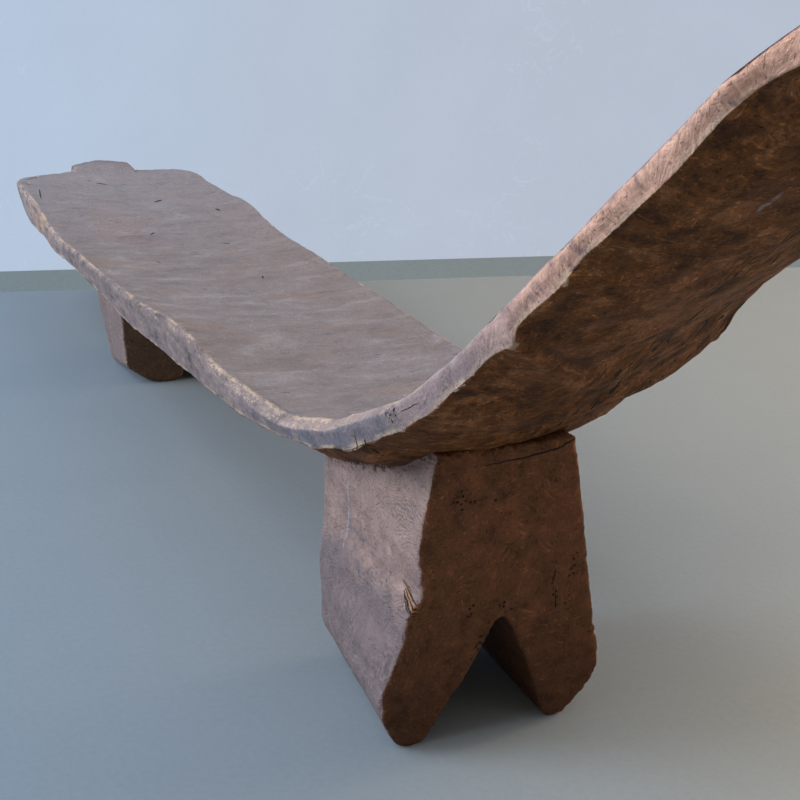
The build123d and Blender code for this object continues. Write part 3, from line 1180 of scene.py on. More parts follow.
def turned_patches(wires, place, patch_size, sway, detail):
    """Places turned another way in each patch, and the patches' tints."""
    scale = wires.over(1.0, patch_size)
    swayed = wires.sway(place, scale, wires.times(patch_size, sway), detail)
    tint = wires.cells(swayed, scale, "Color")
    feeds = {"Vector": swayed, "Rotation": wires.vector("MULTIPLY", tint, PATCH_TURN)}
    return wires.add("ShaderNodeVectorRotate", {"rotation_type": "EULER_XYZ"}, feeds).outputs[0], tint


def where_high(wires, field, amount, highest, fall, soft):
    """Where a field lies above a limit, which is highest for an amount of 0 and falls as it grows."""
    limit = wires.minus(highest, wires.times(amount, fall))
    return wires.step(field, limit, wires.plus(limit, soft))


def stroke_group():
    """Patches of fine parallel tool strokes, each patch turned its own way."""
    numbers = {"Patch Size": 0.05, "Stroke Width": 0.002, "Seed": 0.0}
    tree, wires, source, sink = shader_group("Tool Strokes", ["Vector"], numbers, ["Strokes", "Patch"])
    place = wires.vector("ADD", source["Vector"], wires.combine(source["Seed"], 0.0, source["Seed"]))
    turned, tint = turned_patches(wires, place, source["Patch Size"], 1.2, 3.0)
    across = wires.vector("MULTIPLY", turned, (1.0, 0.10, 0.45))
    wires.feed(sink["Strokes"], wires.noise(across, wires.over(1.0, source["Stroke Width"]), 2.0, 0.6))
    wires.feed(sink["Patch"], wires.add("ShaderNodeSeparateColor", None, {0: tint}).outputs[0])
    return tree


def scratch_group():
    """Short thin scratches that run every way."""
    numbers = {"Patch Size": 0.03, "Width": 0.001, "Slimness": 0.08, "Amount": 0.5, "Seed": 0.0}
    tree, wires, source, sink = shader_group("Scratches", ["Vector"], numbers, ["Scratches"])
    place = wires.vector("ADD", source["Vector"], wires.combine(source["Seed"], source["Seed"]))
    turned, _ = turned_patches(wires, place, source["Patch Size"], 0.6, 2.0)
    line_place = wires.vector("MULTIPLY", turned, wires.combine(source["Slimness"], 1.0, 1.0))
    field = wires.noise(line_place, wires.over(0.5, source["Width"]), 1.0)
    wires.feed(sink["Scratches"], where_high(wires, field, source["Amount"], 0.74, 0.22, 0.07))
    return tree


def grain_group():
    """Growth rings and fibres that run along the log."""
    numbers = {"Ring Width": 0.005, "Sway": 0.03, "Fibre Width": 0.0012}
    tree, wires, source, sink = shader_group("Log Grain", ["Vector"], numbers, ["Rings", "Fibres"])
    place = wires.sway(source["Vector"], 9.0, source["Sway"], 4.0)
    radius = wires.vector("LENGTH", wires.drawn_out(place, 0.22))
    rings = wires.math("SINE", wires.over(wires.times(radius, RING_TURN), source["Ring Width"]))
    wires.feed(sink["Rings"], wires.times_plus(rings, 0.5, 0.5))
    fibres = wires.noise(wires.drawn_out(place, 0.09), wires.over(1.0, source["Fibre Width"]), 2.0, 0.6)
    wires.feed(sink["Fibres"], fibres)
    return tree


def crack_group():
    """Long dark drying cracks along the grain, in clusters."""
    numbers = {"Length": 0.12, "Gap": 0.012, "Width": 0.010, "Amount": 0.5}
    tree, wires, source, sink = shader_group("Drying Cracks", ["Vector"], numbers, ["Cracks"])
    place = wires.sway(source["Vector"], 30.0, 0.006)
    squeeze = wires.combine(wires.over(source["Gap"], source["Length"]), 1.0, 1.0)
    field = wires.noise(wires.vector("MULTIPLY", place, squeeze), wires.over(1.0, source["Gap"]), 0.0)
    level = wires.math("ABSOLUTE", wires.centred(field))
    line = wires.step(level, source["Width"], wires.times(source["Width"], 2.5), 1.0, 0.0)
    cluster = wires.noise(wires.drawn_out(source["Vector"], 0.35), 42.0, 3.0, 0.6)
    cluster = where_high(wires, cluster, source["Amount"], 0.85, 0.5, 0.05)
    wires.feed(sink["Cracks"], wires.times(line, cluster))
    return tree


def hole_group():
    """Round worm holes in loose clusters."""
    numbers = {"Gap": 0.009, "Hole Width": 0.0022, "Amount": 0.5}
    tree, wires, source, sink = shader_group("Worm Holes", ["Vector"], numbers, ["Holes"])
    near = wires.cells(source["Vector"], wires.over(1.0, source["Gap"]))
    radius = wires.over(wires.times(source["Hole Width"], 0.5), source["Gap"])
    hole = wires.step(near, radius, wires.times(radius, 1.7), 1.0, 0.0)
    cluster = wires.noise(source["Vector"], 34.0, 2.0, 0.6)
    cluster = where_high(wires, cluster, source["Amount"], 0.80, 0.4, 0.04)
    wires.feed(sink["Holes"], wires.times(hole, cluster))
    return tree


def mark_group():
    """One long spot at a given place: 1 inside, 0 outside."""
    vectors = ["Vector", "Centre", "Direction", "Facing"]
    numbers = {"Half Length": 0.01, "Half Width": 0.001}
    tree, wires, source, sink = shader_group("Placed Mark", vectors, numbers, ["Mark"])
    way = wires.vector("NORMALIZE", source["Direction"])
    offset = wires.vector("SUBTRACT", source["Vector"], source["Centre"])
    depth = wires.times(wires.vector("DOT_PRODUCT", offset, source["Facing"]), 0.9)
    offset = wires.vector("SUBTRACT", offset, wires.stretch(source["Facing"], depth))
    along = wires.vector("DOT_PRODUCT", offset, way)
    across = wires.vector("LENGTH", wires.vector("SUBTRACT", offset, wires.stretch(way, along)))
    end = wires.over(wires.math("ABSOLUTE", along), source["Half Length"])
    side = wires.over(across, source["Half Width"])
    far = wires.plus(wires.times(end, end), wires.times(side, side))
    wires.feed(sink["Mark"], wires.step(far, 0.6, 1.4, 1.0, 0.0))
    return tree


def wear_group():
    """Where an arris is rubbed pale, broken up by noise, and where dirt gathers in hollows."""
    numbers = {"Arris": 0.0, "Hollow": 0.0, "Amount": 0.5}
    tree, wires, source, sink = shader_group("Edge Wear", ["Vector"], numbers, ["Wear", "Dirt"])
    broken = wires.noise(source["Vector"], 330.0, 4.0, 0.75)
    patches = wires.noise(source["Vector"], 26.0, 2.0)
    broken = wires.plus(wires.times(broken, 0.75), wires.times(patches, 0.50))
    total = wires.plus(wires.times(source["Arris"], 0.62), wires.times(broken, 0.75))
    wires.feed(sink["Wear"], where_high(wires, total, source["Amount"], 1.20, 0.5, 0.12))
    dirt = wires.times(source["Hollow"], wires.plus(broken, 0.35))
    wires.feed(sink["Dirt"], wires.step(dirt, 0.25, 0.85))
    return tree


# ---- materials ------------------------------------------------------------------------------

RIM_SIDE = (0.0, -1.0, 0.0)
TOP_SIDE = (0.0, 0.0, 1.0)
HEAD_SIDE = (1.0, 0.0, 0.0)
SLOPE_UNDERSIDE = (0.6, 0.0, -0.8)
# cracks and pits at known places, X from the head leg's face:
# (centre, direction, the way the surface faces, half length, half width)
BED_CRACKS = (
    ((-0.026, -0.115, 0.252), (0.10, 0.0, 1.0), RIM_SIDE, 0.007, 0.0007),
    ((-0.012, -0.115, 0.252), (0.12, 0.0, 1.0), RIM_SIDE, 0.009, 0.0013),
    ((-0.016, -0.103, 0.246), (-0.5, 0.8, -0.5), (0.5, -0.4, -0.7), 0.013, 0.0014),
    ((0.076, -0.113, 0.313), (0.88, 0.0, 0.47), RIM_SIDE, 0.017, 0.0003),
    ((-1.465, -0.154, 0.222), (1.0, -0.1, 0.0), TOP_SIDE, 0.045, 0.0010),
    ((-1.575, -0.030, 0.222), (1.0, 1.2, 0.0), TOP_SIDE, 0.012, 0.0028),
    ((-1.405, 0.036, 0.206), (1.0, -0.9, 0.0), TOP_SIDE, 0.012, 0.0030),
    ((-1.292, 0.112, 0.210), (1.0, 0.3, 0.0), TOP_SIDE, 0.007, 0.0022),
    ((-1.190, -0.020, 0.200), (1.0, -0.6, 0.0), TOP_SIDE, 0.008, 0.0016),
    ((-1.080, 0.070, 0.198), (1.0, 0.8, 0.0), TOP_SIDE, 0.007, 0.0017),
    ((-0.960, -0.060, 0.196), (1.0, 0.2, 0.0), TOP_SIDE, 0.010, 0.0011),
    ((-0.820, 0.050, 0.196), (1.0, -0.3, 0.0), TOP_SIDE, 0.008, 0.0011),
    ((-0.640, -0.010, 0.194), (1.0, 0.5, 0.0), TOP_SIDE, 0.007, 0.0009),
    ((-0.470, 0.060, 0.196), (1.0, -0.2, 0.0), TOP_SIDE, 0.010, 0.0008),
)
# Painted highlight: light lines along the hewn ridge across the headrest's underside.
RIDGE_HIGHLIGHT_MARKS = (
    ((0.192, -0.079, 0.372), (-0.0095, 0.022, -0.012), SLOPE_UNDERSIDE, 0.016, 0.0007),
    ((0.177, -0.052, 0.3585), (-0.0215, 0.031, -0.015), SLOPE_UNDERSIDE, 0.023, 0.0008),
)
BED_PALE_MARKS = (((0.345, -0.050, 0.486), (0.79, 0.03, 0.61), SLOPE_UNDERSIDE, 0.010, 0.0016),)
RING_STAIN = (-1.150, -0.057)
RING_STAIN_RADIUS = 0.022
LEG_CRACKS = (
    ((-0.021, -0.074, 0.1300), (1.0, 0.0, -0.24), RIM_SIDE, 0.012, 0.0005),
    ((-0.016, -0.074, 0.1268), (1.0, 0.0, -0.28), RIM_SIDE, 0.017, 0.0006),
    ((-0.013, -0.074, 0.1236), (1.0, 0.0, -0.30), RIM_SIDE, 0.018, 0.0004),
    ((-0.011, -0.074, 0.1206), (1.0, 0.0, -0.36), RIM_SIDE, 0.014, 0.0006),
    ((-0.008, -0.074, 0.1180), (1.0, 0.0, -0.38), RIM_SIDE, 0.010, 0.0004),
    ((0.001, 0.004, 0.2335), (0.0, 1.0, 0.05), HEAD_SIDE, 0.022, 0.0005),
    ((0.001, 0.030, 0.2360), (0.0, 1.0, 0.16), HEAD_SIDE, 0.018, 0.0008),
    ((0.001, 0.054, 0.2420), (0.0, 1.0, 0.46), HEAD_SIDE, 0.014, 0.0007),
    ((0.001, 0.048, 0.130), (0.0, 0.1, 1.0), HEAD_SIDE, 0.006, 0.0006),
    ((0.001, 0.050, 0.108), (0.0, -0.1, 1.0), HEAD_SIDE, 0.008, 0.0005),
)
LEG_SPLINTERS = (
    ((-0.020, -0.074, 0.1284), (1.0, 0.0, -0.26), RIM_SIDE, 0.014, 0.0008),
    ((-0.015, -0.074, 0.1252), (1.0, 0.0, -0.29), RIM_SIDE, 0.016, 0.0008),
    ((-0.012, -0.074, 0.1221), (1.0, 0.0, -0.33), RIM_SIDE, 0.014, 0.0008),
)
LEG_PALE_MARKS = (
    ((-0.131, -0.081, 0.150), (-0.03, 0.0, 1.0), RIM_SIDE, 0.036, 0.0019),
)
# loose clusters of worm holes, given in the same way
LEG_HOLE_PATCHES = (
    ((0.001, -0.036, 0.206), (0.0, 0.4, 1.0), HEAD_SIDE, 0.009, 0.0070),
    ((0.001, -0.016, 0.203), (0.0, 1.0, 0.0), HEAD_SIDE, 0.014, 0.0018),
    ((0.001, 0.049, 0.118), (0.0, 0.0, 1.0), HEAD_SIDE, 0.026, 0.0030),
    ((0.001, 0.064, 0.125), (0.0, 0.1, 1.0), HEAD_SIDE, 0.030, 0.0040),
    ((0.001, 0.002, 0.110), (0.0, 1.0, 0.0), HEAD_SIDE, 0.012, 0.0060),
    ((0.001, -0.026, 0.112), (0.0, 0.5, 1.0), HEAD_SIDE, 0.008, 0.0050),
    ((0.001, -0.017, 0.080), (0.0, 0.4, 1.0), HEAD_SIDE, 0.022, 0.0030),
    ((-0.135, -0.084, 0.205), (1.0, 0.0, 0.2), RIM_SIDE, 0.018, 0.0040),
)
BED_HOLE_PATCHES = (
    ((0.045, -0.112, 0.298), (0.8, 0.0, 0.6), RIM_SIDE, 0.010, 0.0060),
    ((-0.050, 0.080, 0.210), (1.0, 0.2, 0.0), TOP_SIDE, 0.050, 0.0060),
)
# sizes of the marks that both woods share
STROKES = {"Patch Size": 0.045, "Stroke Width": 0.0026}
LIGHT_SCRATCHES = {"Patch Size": 0.040, "Width": 0.0011, "Slimness": 0.06, "Amount": 0.5, "Seed": 1.0}
DARK_SCRATCHES = {"Patch Size": 0.022, "Width": 0.0009, "Slimness": 0.13, "Amount": 0.45, "Seed": 4.0}
CRACKS = {"Length": 0.07, "Gap": 0.006, "Width": 0.016}
SMALL_HOLES = {"Gap": 0.0038, "Hole Width": 0.0017, "Amount": 2.0}
RING_WIDTH = 0.0023
BUMP_STRENGTH = 0.85
# across the log, from where there are no cracks to where there are
CRACKED_SIDE_FADE = (-0.045, 0.010)
# fades of the rim's and the upper face's colours, as runs from the head leg's face: (start, end)
BLUE_SEAT_FADE = (-1.80, -0.90)
LUG_FADE = (-1.72, -1.66)
FOOT_ARRIS_FADE = (-1.50, -1.38)
ORANGE_FADE_IN = (-1.47, -1.36)
ORANGE_FADE_OUT = (-1.36, -1.14)
FOOT_LEVEL_FADE = (-1.25, -0.95)
BEND_LEVEL_FADE = (-0.50, -0.30)
BEND_START_FADE = (-0.36, -0.16)
PALE_BAND_FADE = (-0.26, -0.12)
BEND_END_FADE = (-0.02, 0.06)
LILAC_FADE = (0.02, 0.10)
HEADREST_FADE = (0.16, 0.34)
# X from the foot leg's look to the head leg's, and the heights between which both legs get lighter
BETWEEN_LEGS = (-0.3, 0.2)
LEG_SHADE_HEIGHTS = (0.04, 0.23)


def attribute(wires, key):
    return wires.add("ShaderNodeAttribute", {"attribute_name": key}).outputs["Fac"]


def place_group(wires, tree, feeds):
    return wires.add("ShaderNodeGroup", {"node_tree": tree}, feeds).outputs


def new_material(name):
    """An empty material, its wiring and the places in the object."""
    material = bpy.data.materials.new(name)
    material.use_nodes = True
    material.node_tree.nodes.clear()
    wires = Wiring(material.node_tree)
    return material, wires, wires.add("ShaderNodeTexCoord").outputs["Object"]


def three_tones(wires, field, dark, middle, light):
    """Colour from dark over middle to light along a noise field."""
    base = wires.mix(wires.step(field, 0.34, 0.50), dark, middle)
    return wires.mix(wires.step(field, 0.50, 0.68), base, light)


def frayed(wires, mask, rough_edge):
    """A mask with a frayed border."""
    return wires.step(wires.times_plus(rough_edge, 1.2, mask), 0.35, 0.65)


def placed_marks(wires, tree, place, marks):
    """All marks of one list as one mask."""
    total = 0.0
    for (x, y, z), direction, facing, half_length, half_width in marks:
        feeds = {
            "Vector": place,
            "Centre": (x + head_face, y, z),
            "Direction": direction,
            "Facing": facing,
            "Half Length": half_length,
            "Half Width": half_width,
        }
        total = wires.larger(place_group(wires, tree, feeds)["Mark"], total)
    return total


def wood_masks(wires, place):
    """What part of the log a place belongs to, and where the light doesn't reach."""
    masks = {key: attribute(wires, key) for key in ("arris", "hollow", "upper", "rim", "grime")}
    masks["rough_edge"] = wires.centred(wires.noise(place, 300.0, 3.0, 0.7))
    masks["side"] = frayed(wires, attribute(wires, "side"), masks["rough_edge"])
    # The upper faces, rims and leg sides: their lighter colours are partly painted light.
    weathered_and_lit = wires.larger(wires.larger(masks["upper"], masks["rim"]), masks["side"])
    masks["shaded"] = wires.minus(1.0, weathered_and_lit)
    return masks


def wood_marks(wires, groups, place, grain_place, masks, settings):
    """Strokes, fibres, scratches, cracks, holes and wear, by name."""

    def drawn(key, vector, feeds):
        return place_group(wires, groups[key], {"Vector": vector, **feeds})

    strokes = drawn("strokes", grain_place, STROKES)
    grain = drawn("grain", grain_place, {"Ring Width": RING_WIDTH, "Sway": settings["sway"]})
    light = drawn("scratches", grain_place, LIGHT_SCRATCHES)
    dark = drawn("scratches", grain_place, DARK_SCRATCHES)
    rubbed = {"Arris": masks["arris"], "Hollow": masks["hollow"], "Amount": settings["wear"]}
    wear = drawn("wear", wires.drawn_out(grain_place, settings["stretch"]), rubbed)

    cracks = drawn("cracks", grain_place, {**CRACKS, "Amount": settings["cracks"]})["Cracks"]
    across = wires.split(grain_place)["Y"]
    cracks = wires.times(cracks, wires.times(masks["shaded"], wires.step(across, *CRACKED_SIDE_FADE)))
    holes = drawn("holes", place, {"Amount": settings["holes"]})["Holes"]
    small_holes = drawn("holes", place, SMALL_HOLES)["Holes"]
    bored = placed_marks(wires, groups["mark"], place, settings["hole_patches"])
    holes = wires.larger(holes, wires.times(bored, small_holes))
    swayed = wires.sway(place, 160.0, 0.003)
    placed = placed_marks(wires, groups["mark"], swayed, settings["placed_cracks"])
    return {
        "strokes": strokes["Strokes"],
        "patch": strokes["Patch"],
        "rings": grain["Rings"],
        "fibres": grain["Fibres"],
        "light_lines": light["Scratches"],
        "dark_lines": dark["Scratches"],
        "wear": wear["Wear"],
        "dirt": wear["Dirt"],
        "gaps": wires.larger(wires.larger(cracks, holes), placed),
        "pale": placed_marks(wires, groups["mark"], swayed, settings["placed_pale"]),
        "highlights_and_splinters": placed_marks(wires, groups["mark"], swayed, settings["placed_highlights_and_splinters"]),
        "fine": wires.noise(place, 420.0, 3.0, 0.7),
    }


def wood_shade(wires, place, masks, marks, settings):
    """How light or dark the marks make the wood, about 1."""
    stroke_amount = wires.times_plus(masks["upper"], -0.5 * settings["strokes"], settings["strokes"])
    shade = wires.vary(1.0, marks["strokes"], stroke_amount)
    shade = wires.vary(shade, marks["fine"], settings["fine"])
    shade = wires.vary(shade, wires.noise(place, 60.0, 4.0, 0.65), settings["cloud"])
    rings = wires.times(wires.centred(marks["rings"]), masks["side"])
    rings = wires.times(rings, wires.step(wires.noise(place, 22.0), 0.40, 0.62))
    shade = wires.times_plus(rings, settings["rings"], shade)
    shade = wires.vary(shade, marks["fibres"], settings["fibres"])
    line_amount = wires.times_plus(masks["shaded"], 0.30, settings["light_lines"])
    line_amount = wires.times_plus(masks["rim"], -0.7 * settings["light_lines"], line_amount)
    shade = wires.times_plus(marks["light_lines"], line_amount, shade)
    shade = wires.times_plus(marks["dark_lines"], -settings["dark_lines"], shade)
    contrast = wires.times_plus(masks["shaded"], settings["shaded_contrast"], 1.0)
    contrast = wires.times_plus(masks["upper"], -0.30, contrast)
    return wires.larger(wires.times_plus(wires.minus(shade, 1.0), contrast, 1.0), 0.12)


def wood_relief(wires, masks, marks, settings):
    """Small heights of the marks, calmer on the upper face and the rim."""
    height = wires.times(marks["strokes"], settings["strokes"])
    height = wires.times_plus(marks["fine"], settings["fine"] * 0.6, height)
    height = wires.times_plus(marks["fibres"], settings["fibres"], height)
    height = wires.times_plus(marks["light_lines"], -0.25, height)
    height = wires.times_plus(marks["dark_lines"], -0.30, height)
    calm = wires.times_plus(wires.larger(masks["upper"], masks["rim"]), -0.5, 1.0)
    return wires.times_plus(marks["gaps"], -1.6, wires.times(height, calm))


def wood_material(name, groups, tones, settings):
    """Weathered wood.  tones wires the base colour from the masks, settings hold the amounts."""
    colours = settings["colours"]
    material, wires, place = new_material(name)
    grain_place = wires.add("ShaderNodeAttribute", {"attribute_name": "grain"}).outputs["Vector"]
    masks = wood_masks(wires, place)
    marks = wood_marks(wires, groups, place, grain_place, masks, settings)

    base = tones(wires, colours, place, grain_place, marks["patch"], masks)
    base = wires.shade(base, wood_shade(wires, place, masks, marks, settings))
    base = wires.mix(wires.times(marks["wear"], 0.7), base, colours.worn)
    chalky = wires.step(wires.noise(place, 260.0, 3.0, 0.7), 0.40, 0.60, 0.1, 0.6)
    base = wires.mix(wires.times(marks["pale"], chalky), base, colours.pale)
    # A painted highlight along the underside's ridge, and pale splinter wood on the head leg.
    base = wires.mix(wires.times(marks["highlights_and_splinters"], 0.55), base, colours.ridge_highlight_and_splinter)
    # Dark crumbs where the legs run under the slab: dirt and painted shade.
    crumbs = wires.step(wires.noise(wires.drawn_out(place, 0.45), 240.0, 3.0, 0.7), 0.51, 0.57)
    base = wires.mix(wires.times(wires.times(masks["grime"], crumbs), 0.9), base, colours.under_dark)
    dark = wires.larger(wires.times(marks["dirt"], 0.5), marks["gaps"])
    base = wires.mix(dark, base, colours.dirt)

    height = wood_relief(wires, masks, marks, settings)
    feeds = {"Strength": BUMP_STRENGTH, "Distance": settings["relief"], "Height": height}
    bump = wires.add("ShaderNodeBump", None, feeds)
    feeds = {
        "Base Color": base,
        "Roughness": wires.times_plus(marks["fine"], 0.25, settings["roughness"]),
        "Normal": bump.outputs[0],
        "Specular IOR Level": 0.20,
    }
    surface = wires.add("ShaderNodeBsdfPrincipled", None, feeds)
    wires.add("ShaderNodeOutputMaterial", None, {"Surface": surface.outputs[0]})
    return material


def seat_tones(wires, colours, place, grain_place, run):
    """The greyed upper face: streaks, rubbed patches, the bluish foot end, specks and a ring stain."""
    streaks = wires.noise(wires.vector("MULTIPLY", grain_place, (1.0, 0.55, 1.0)), 24.0, 7.0, 0.68, 0.5)
    seat = three_tones(wires, streaks, colours.seat_dark, colours.seat, colours.seat_light)
    warm = wires.step(wires.noise(grain_place, 9.0, 4.0, 0.6), 0.50, 0.66)
    far = wires.step(wires.split(grain_place)["Y"], 0.02, 0.16)
    warm = wires.larger(wires.times(warm, 0.55), wires.times(far, 0.30))
    seat = wires.mix(warm, seat, colours.seat_warm)
    seat = wires.mix(wires.step(run, *BLUE_SEAT_FADE, 0.50, 0.0), seat, colours.seat_blue)
    seat = wires.mix(wires.step(run, *LUG_FADE, 0.45, 0.0), seat, colours.rim_dark)
    speck_place = wires.vector("MULTIPLY", grain_place, (1.0, 0.4, 1.0))
    specks = wires.step(wires.noise(speck_place, 190.0, 3.0, 0.7), 0.585, 0.67)
    patches = wires.step(wires.noise(grain_place, 16.0, 3.0), 0.44, 0.60, 0.15, 0.85)
    seat = wires.mix(wires.times(specks, patches), seat, colours.rim_dark)
    ring_place = wires.vector("SUBTRACT", place, (RING_STAIN[0] + head_face, RING_STAIN[1], 0.0))
    ring = wires.vector("LENGTH", wires.vector("MULTIPLY", ring_place, (0.8, 1.0, 0.0)))
    ring = wires.times_plus(wires.noise(place, 45.0, 3.0), 0.030, ring)
    ring = wires.math("ABSOLUTE", wires.minus(ring, RING_STAIN_RADIUS + 0.015))
    return wires.mix(wires.step(ring, 0.001, 0.011, 0.30, 0.0), seat, colours.face_red)


def headrest_rim_tones(wires, colours, grain_place, flecks, masks):
    """The headrest's rim: pinkish brown with slanting tool marks under a purplish band; the pinkish brown is
    painted much lighter than the rest of the rim, as painted light.
    """
    slant = wires.vector("DOT_PRODUCT", grain_place, (1.0, 0.0, 0.8))
    tool_bands = wires.noise(wires.combine(slant), 90.0, 3.0, 0.6)
    field = wires.times_plus(tool_bands, 0.5, wires.times(flecks, 0.5))
    field = wires.times_plus(field, 1.5, -0.255)
    tone = three_tones(wires, field, colours.rim_head_dark, colours.rim_head_painted_light, colours.rim_head_painted_light)
    band = wires.times_plus(masks["rough_edge"], 0.8, masks["band"])
    return wires.mix(wires.step(band, 0.3, 0.8, 0.0, 0.8), tone, colours.head_band)


def rim_tones(wires, colours, grain_place, run, masks):
    """The rim's patina along the log, and where its upper arris is rubbed."""
    band = masks["band"]
    flecks = wires.noise(wires.drawn_out(grain_place, 0.40), 80.0, 5.0, 0.7)
    edge = three_tones(wires, flecks, colours.rim_dark, colours.rim, colours.rim_light)
    edge = wires.mix(wires.step(run, *LILAC_FADE, 0.0, 0.75), edge, colours.rim_lilac)
    head_edge = headrest_rim_tones(wires, colours, grain_place, flecks, masks)
    edge = wires.mix(wires.step(run, *HEADREST_FADE), edge, head_edge)

    bend = wires.times(wires.step(run, *BEND_START_FADE), wires.step(run, *BEND_END_FADE, 1.0, 0.0))
    blue = wires.step(wires.noise(grain_place, 38.0, 4.0, 0.65), 0.42, 0.56, 0.30, 0.85)
    bend = wires.times(wires.times(bend, wires.minus(1.0, band)), blue)
    edge = wires.mix(bend, edge, colours.rim_bend)
    pale_band = wires.times(wires.step(run, *PALE_BAND_FADE), wires.step(run, *BEND_END_FADE, 0.6, 0.0))
    edge = wires.mix(wires.times(band, pale_band), edge, colours.rim_light)

    crumb_place = wires.drawn_out(grain_place, 0.45)
    crumbs = wires.step(wires.noise(crumb_place, 420.0, 4.0, 0.75), 0.55, 0.60)
    crumb_patches = wires.step(wires.noise(grain_place, 24.0, 3.0), 0.42, 0.56)
    crumbs = wires.times(crumbs, wires.times(crumb_patches, 0.85))
    edge = wires.mix(wires.times(crumbs, band), edge, colours.worn)
    foot = wires.times(wires.step(run, *ORANGE_FADE_IN), wires.step(run, *ORANGE_FADE_OUT, 1.0, 0.0))
    foot = wires.times(foot, wires.step(flecks, 0.40, 0.60))
    edge = wires.mix(wires.times(foot, 0.60), edge, colours.orange)
    foot_level = wires.step(run, *FOOT_LEVEL_FADE, 1.13, 0.88)
    edge = wires.shade(edge, wires.plus(foot_level, wires.step(run, *BEND_LEVEL_FADE, 0.0, 0.20)))
    crumbly = wires.step(wires.noise(crumb_place, 60.0, 4.0, 0.7), 0.43, 0.55)
    lip = wires.times(attribute(wires, "lip"), crumbly)
    edge = wires.mix(wires.times(lip, 0.75), edge, colours.worn)

    rubbed = wires.times_plus(masks["rough_edge"], 1.6, attribute(wires, "crest"))
    rubbed = wires.times(wires.step(rubbed, 0.70, 0.95), crumb_patches)
    return edge, wires.times(rubbed, wires.step(run, *FOOT_ARRIS_FADE))


def underside_tones(wires, colours, grain_place, patch):
    """The brown underside, in cloudy patches; its dark, warm brown is partly the wood's colour and partly
    painted shade.
    """
    field = wires.noise(grain_place, 70.0, 6.0, 0.75)
    field = wires.vary(field, wires.noise(grain_place, 21.0, 3.0, 0.6, 1.2), 0.70)
    field = wires.vary(field, patch, 0.16)
    under = three_tones(wires, field, colours.under_dark, colours.under, colours.under_light)
    red = wires.step(wires.noise(grain_place, 20.0, 3.0), 0.52, 0.66)
    return wires.mix(wires.times(red, 0.4), under, colours.face_red)


def bed_tones(wires, colours, place, grain_place, patch, masks):
    """Base colour of the slab, the headrest and the lug."""
    masks = {**masks, "band": attribute(wires, "band")}
    along = wires.split(grain_place)["X"]
    run = wires.minus(wires.times_plus(wires.noise(grain_place, 14.0, 3.0), 0.10, along), 0.05)
    seat = seat_tones(wires, colours, place, grain_place, run)
    edge, rubbed = rim_tones(wires, colours, grain_place, run, masks)
    bare = wires.mix(masks["upper"], edge, seat)
    bare = wires.mix(wires.times(rubbed, 0.60), bare, colours.worn)
    # Lighter upper face and rim over the darker brown underside: partly the wood's colour, partly painted
    # light and shade.
    weathered_and_lit = frayed(wires, wires.plus(masks["rim"], masks["upper"]), masks["rough_edge"])
    return wires.mix(weathered_and_lit, underside_tones(wires, colours, grain_place, patch), bare)


def leg_tones(wires, colours, place, grain_place, patch, masks):
    """Base colour of the legs: weathered sides, brown faces across the grain. The lighter sides against the
    darker end grain are partly painted light and shade.
    """
    parts = wires.split(place)
    height = wires.times_plus(wires.noise(place, 30.0, 3.0), 0.05, parts["Z"])

    def at_foot_leg(share):
        """Share at the foot leg, none at the head leg."""
        return wires.step(parts["X"], *BETWEEN_LEGS, share, 0.0)

    def towards_top(tone, low_share, high_share):
        return wires.shade(tone, wires.step(height, *LEG_SHADE_HEIGHTS, low_share, high_share))

    field = wires.noise(wires.drawn_out(grain_place, 0.45), 75.0, 6.0, 0.72)
    flank = three_tones(wires, field, colours.side_dark_and_low_shade, colours.side, colours.side_light)
    # Painted shade: the sides turn darker and bluer low down, where they slant in towards the floor.
    flank = wires.mix(wires.step(height, 0.125, 0.165, 0.75, 0.0), flank, colours.side_dark_and_low_shade)
    flank = wires.mix(wires.step(height, 0.165, 0.215, 0.0, 0.45), flank, colours.side_light)
    flank = wires.mix(at_foot_leg(0.30), flank, colours.side_light)
    field = wires.vary(wires.noise(place, 55.0, 6.0, 0.74), patch, 0.08)
    face = three_tones(wires, field, colours.face_dark, colours.face, colours.face_red)
    face = wires.mix(at_foot_leg(0.75), face, colours.face_far)
    # Both the sides and the end grain get darker towards the floor; on the sides this is painted shade.
    return wires.mix(masks["side"], towards_top(face, 0.70, 1.24), towards_top(flank, 0.92, 1.08))


def build_materials():
    colours = bpy.context.scene.daybed_colours
    groups = {
        "strokes": stroke_group(),
        "scratches": scratch_group(),
        "grain": grain_group(),
        "cracks": crack_group(),
        "holes": hole_group(),
        "mark": mark_group(),
        "wear": wear_group(),
    }
    bed = {
        "colours": colours,
        "sway": 0.03,
        "cracks": 0.80,
        "holes": 0.10,
        "wear": 0.80,
        "stretch": 0.4,
        "strokes": 0.85,
        "fine": 0.80,
        "cloud": 0.60,
        "rings": 0.0,
        "fibres": 0.28,
        "light_lines": 0.45,
        "dark_lines": 0.35,
        "relief": 0.0016,
        "roughness": 0.62,
        "shaded_contrast": 0.35,
        "placed_cracks": BED_CRACKS,
        "placed_pale": BED_PALE_MARKS,
        "placed_highlights_and_splinters": RIDGE_HIGHLIGHT_MARKS,
        "hole_patches": BED_HOLE_PATCHES,
    }
    leg = dict(
        bed,
        sway=0.06,
        cracks=0.0,
        holes=0.20,
        wear=0.52,
        stretch=1.0,
        strokes=0.50,
        fine=0.70,
        cloud=0.75,
        rings=0.36,
        fibres=0.25,
        light_lines=0.24,
        shaded_contrast=0.1,
        placed_cracks=LEG_CRACKS,
        placed_pale=LEG_PALE_MARKS,
        placed_highlights_and_splinters=LEG_SPLINTERS,
        hole_patches=LEG_HOLE_PATCHES,
    )
    wood_material("weathered_bed_wood", groups, bed_tones, bed)
    wood_material("weathered_leg_wood", groups, leg_tones, leg)


def shared():
    """Materials and the carving tree, built once."""
    if "weathered_bed_wood" not in bpy.data.materials:
        build_materials()
        carving_tree()
    return bpy.data.materials, bpy.data.node_groups["Carving Marks"]


# ---- stage ----------------------------------------------------------------------------------

